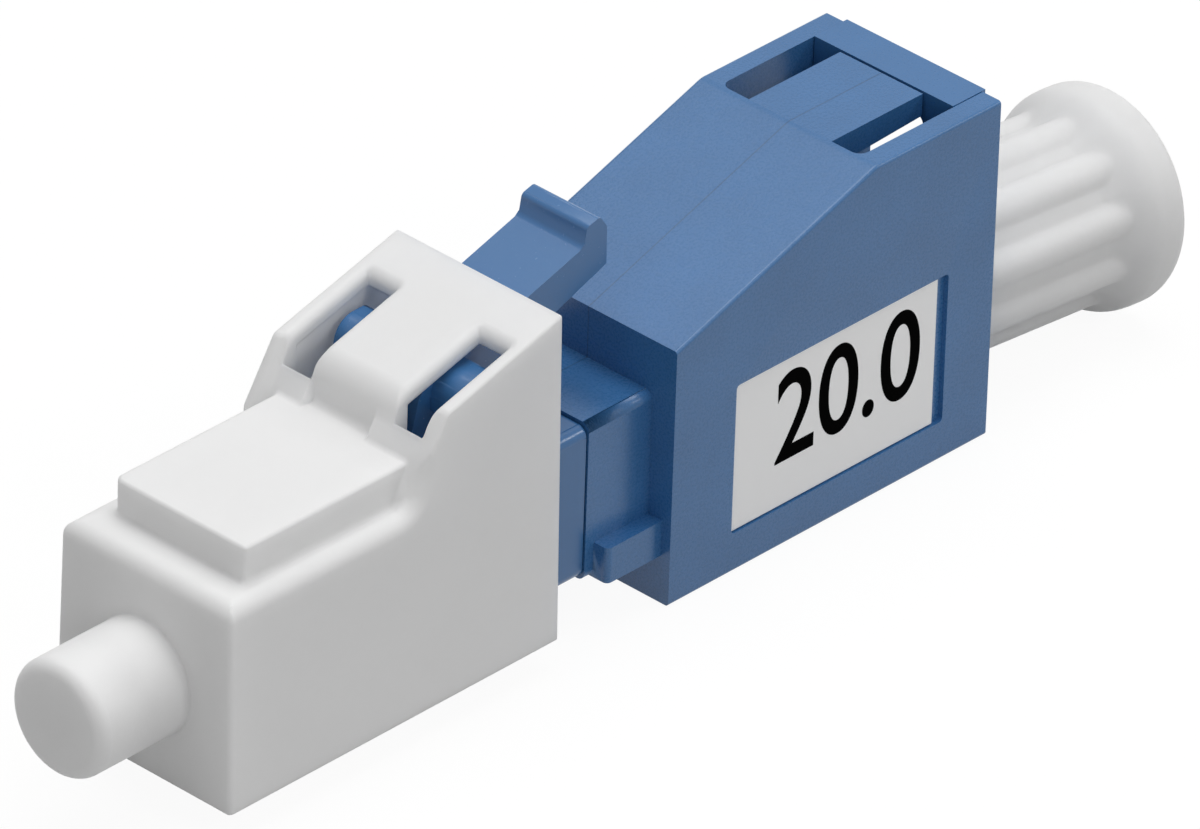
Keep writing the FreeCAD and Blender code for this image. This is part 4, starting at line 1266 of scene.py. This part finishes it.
@dataclass
class Studio:
    """Pale floor, white surroundings, four soft lamps and the camera.

    A lamp has a name, a place, a side's length and the level to which it lights a white face.
    """

    floor_high: float = -0.04
    floor_half: float = 2500.0
    floor_grey: float = 0.5
    floor_white: float = 1.09
    floor_share: float = 0.86
    ambient: float = 0.27
    camera_at: Place = (-286.77, -258.48, 242.07)
    camera_right: Place = (0.68956, -0.72364, 0.02919)
    camera_up: Place = (0.36577, 0.38276, 0.84836)
    camera_back: Place = (-0.62508, -0.57431, 0.52862)
    lens: float = 528.5
    sensor: float = 36.0
    clip: Pair = (0.01, 20.0)
    lamps: tuple[tuple[str, Place, float, float], ...] = (
        ("top_softbox", (60.0, 60.0, 520.0), 420.0, 0.66),
        ("edge_softbox", (380.0, -320.0, 330.0), 120.0, 0.10),
        ("side_softbox", (40.0, -450.0, 395.0), 110.0, 0.115),
        ("front_softbox", (-400.0, -260.0, 160.0), 260.0, 0.055),
    )

    def seen_directly(self, board: Board) -> Value:
        """Add a mask that is 1 on rays from the camera, a mirror or glass, and 0 on light's own rays.

        Args:
            board: the nodes of a material or of the world.

        Returns:
            The mask.
        """
        path = board.node("ShaderNodeLightPath", {}, {})
        camera = Value(board, path.outputs["Is Camera Ray"])
        glossy = Value(board, path.outputs["Is Glossy Ray"])
        through = Value(board, path.outputs["Is Transmission Ray"])
        return (camera + glossy + through).at_most(1.0)

    def build_world(self) -> None:
        """Fill the world: white where it is seen, and a plain grey glow as light."""
        world = bpy.data.worlds.new("studio")
        bpy.context.scene.world = world
        board = Board(world)
        glow = board.node("ShaderNodeBackground", {}, {"Color": (1.0, 1.0, 1.0), "Strength": self.ambient})
        white = board.node("ShaderNodeBackground", {}, {"Color": (1.0, 1.0, 1.0), "Strength": 1.0})
        seen = self.seen_directly(board)
        mix = board.node("ShaderNodeMixShader", {}, {0: seen, 1: glow.outputs[0], 2: white.outputs[0]})
        board.node("ShaderNodeOutputWorld", {}, {"Surface": mix.outputs[0]})

    def build_floor(self) -> None:
        """Lay the floor, which looks white but keeps a soft part of the shadow."""
        h, z = self.floor_half, self.floor_high
        points = np.array([[-h, -h, z], [h, -h, z], [h, h, z], [-h, h, z]])
        floor = quad_mesh("floor", points, np.array([[0, 1, 2, 3]]))
        material = bpy.data.materials.new("floor_white")
        board = Board(material)
        matt = board.node("ShaderNodeBsdfDiffuse", {}, {"Color": (self.floor_grey,) * 3})
        white = board.node("ShaderNodeEmission", {}, {"Color": (1.0, 1.0, 1.0), "Strength": self.floor_white})
        factor = self.seen_directly(board) * self.floor_share
        mix = board.node("ShaderNodeMixShader", {}, {0: factor, 1: matt.outputs[0], 2: white.outputs[0]})
        board.node("ShaderNodeOutputMaterial", {}, {"Surface": mix.outputs[0]})
        floor.data.materials.append(material)

    def build_lamps(self) -> None:
        """Hang the soft lamps.

        A lamp of power v pi^2 d^2 watts at d metres lights a white face that looks at it to v.
        """
        for name, place, side, level in self.lamps:
            lamp = bpy.data.lights.new(name, "AREA")
            lamp.shape = "SQUARE"
            lamp.size = side * MM
            distance = float(np.linalg.norm(place)) * MM
            lamp.energy = level * math.pi ** 2 * distance ** 2
            holder = bpy.data.objects.new(name, lamp)
            back = np.array(place) / np.linalg.norm(place)
            across = np.cross((0.0, 0.0, 1.0), back)
            across = across / np.linalg.norm(across)
            turn = np.eye(4)
            turn[:3, 0], turn[:3, 1], turn[:3, 2] = across, np.cross(back, across), back
            turn[:3, 3] = np.array(place) * MM
            holder.matrix_world = Matrix(turn.tolist())
            bpy.context.scene.collection.objects.link(holder)

    def build_camera(self) -> None:
        """Set up the camera where the photograph was taken from."""
        data = bpy.data.cameras.new("camera")
        data.lens = self.lens
        data.sensor_width = self.sensor
        data.clip_start, data.clip_end = self.clip
        camera = bpy.data.objects.new("camera", data)
        turn = np.eye(4)
        turn[:3, 0], turn[:3, 1], turn[:3, 2] = self.camera_right, self.camera_up, self.camera_back
        turn[:3, 3] = np.array(self.camera_at) * MM
        camera.matrix_world = Matrix(turn.tolist())
        bpy.context.scene.collection.objects.link(camera)
        bpy.context.scene.camera = camera

    def build(self) -> None:
        """Set the stage."""
        bpy.context.scene.view_settings.view_transform = "Standard"
        self.build_world()
        self.build_floor()
        self.build_lamps()
        self.build_camera()
        log.info("studio: floor, %d lamps, camera", len(self.lamps))


MOULDINGS = (
    # The shell's parting groove is welded shut here; its finish paints the groove's shade instead.
    Rounded("body_shell", "attenuator", "blue_shell", BLUE_SHELL, 0.16, parting=0.03),
    Rounded("port_insert", "attenuator", "blue_insert", BLUE_INSERT, 0.06),
    Rounded("plug_housing", "attenuator", "blue_plug", BLUE_PLUG, 0.10),
    Rounded("latch_arm", "latch", "blue_latch", BLUE_LATCH, 0.10),
    Rounded("value_label", "attenuator", "label", LABEL_STOCK, 0.02),
)


def main() -> None:
    """Build the attenuator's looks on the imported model."""
    logging.basicConfig(level=logging.INFO, format="%(message)s")
    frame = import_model()
    Studio().build()
    for moulding in MOULDINGS:
        moulding.build(frame)
    DustCap().build()
    DustPlug().build()
    Numeral().build()
    Optics().build(frame)


if __name__ == "__main__":
    main()
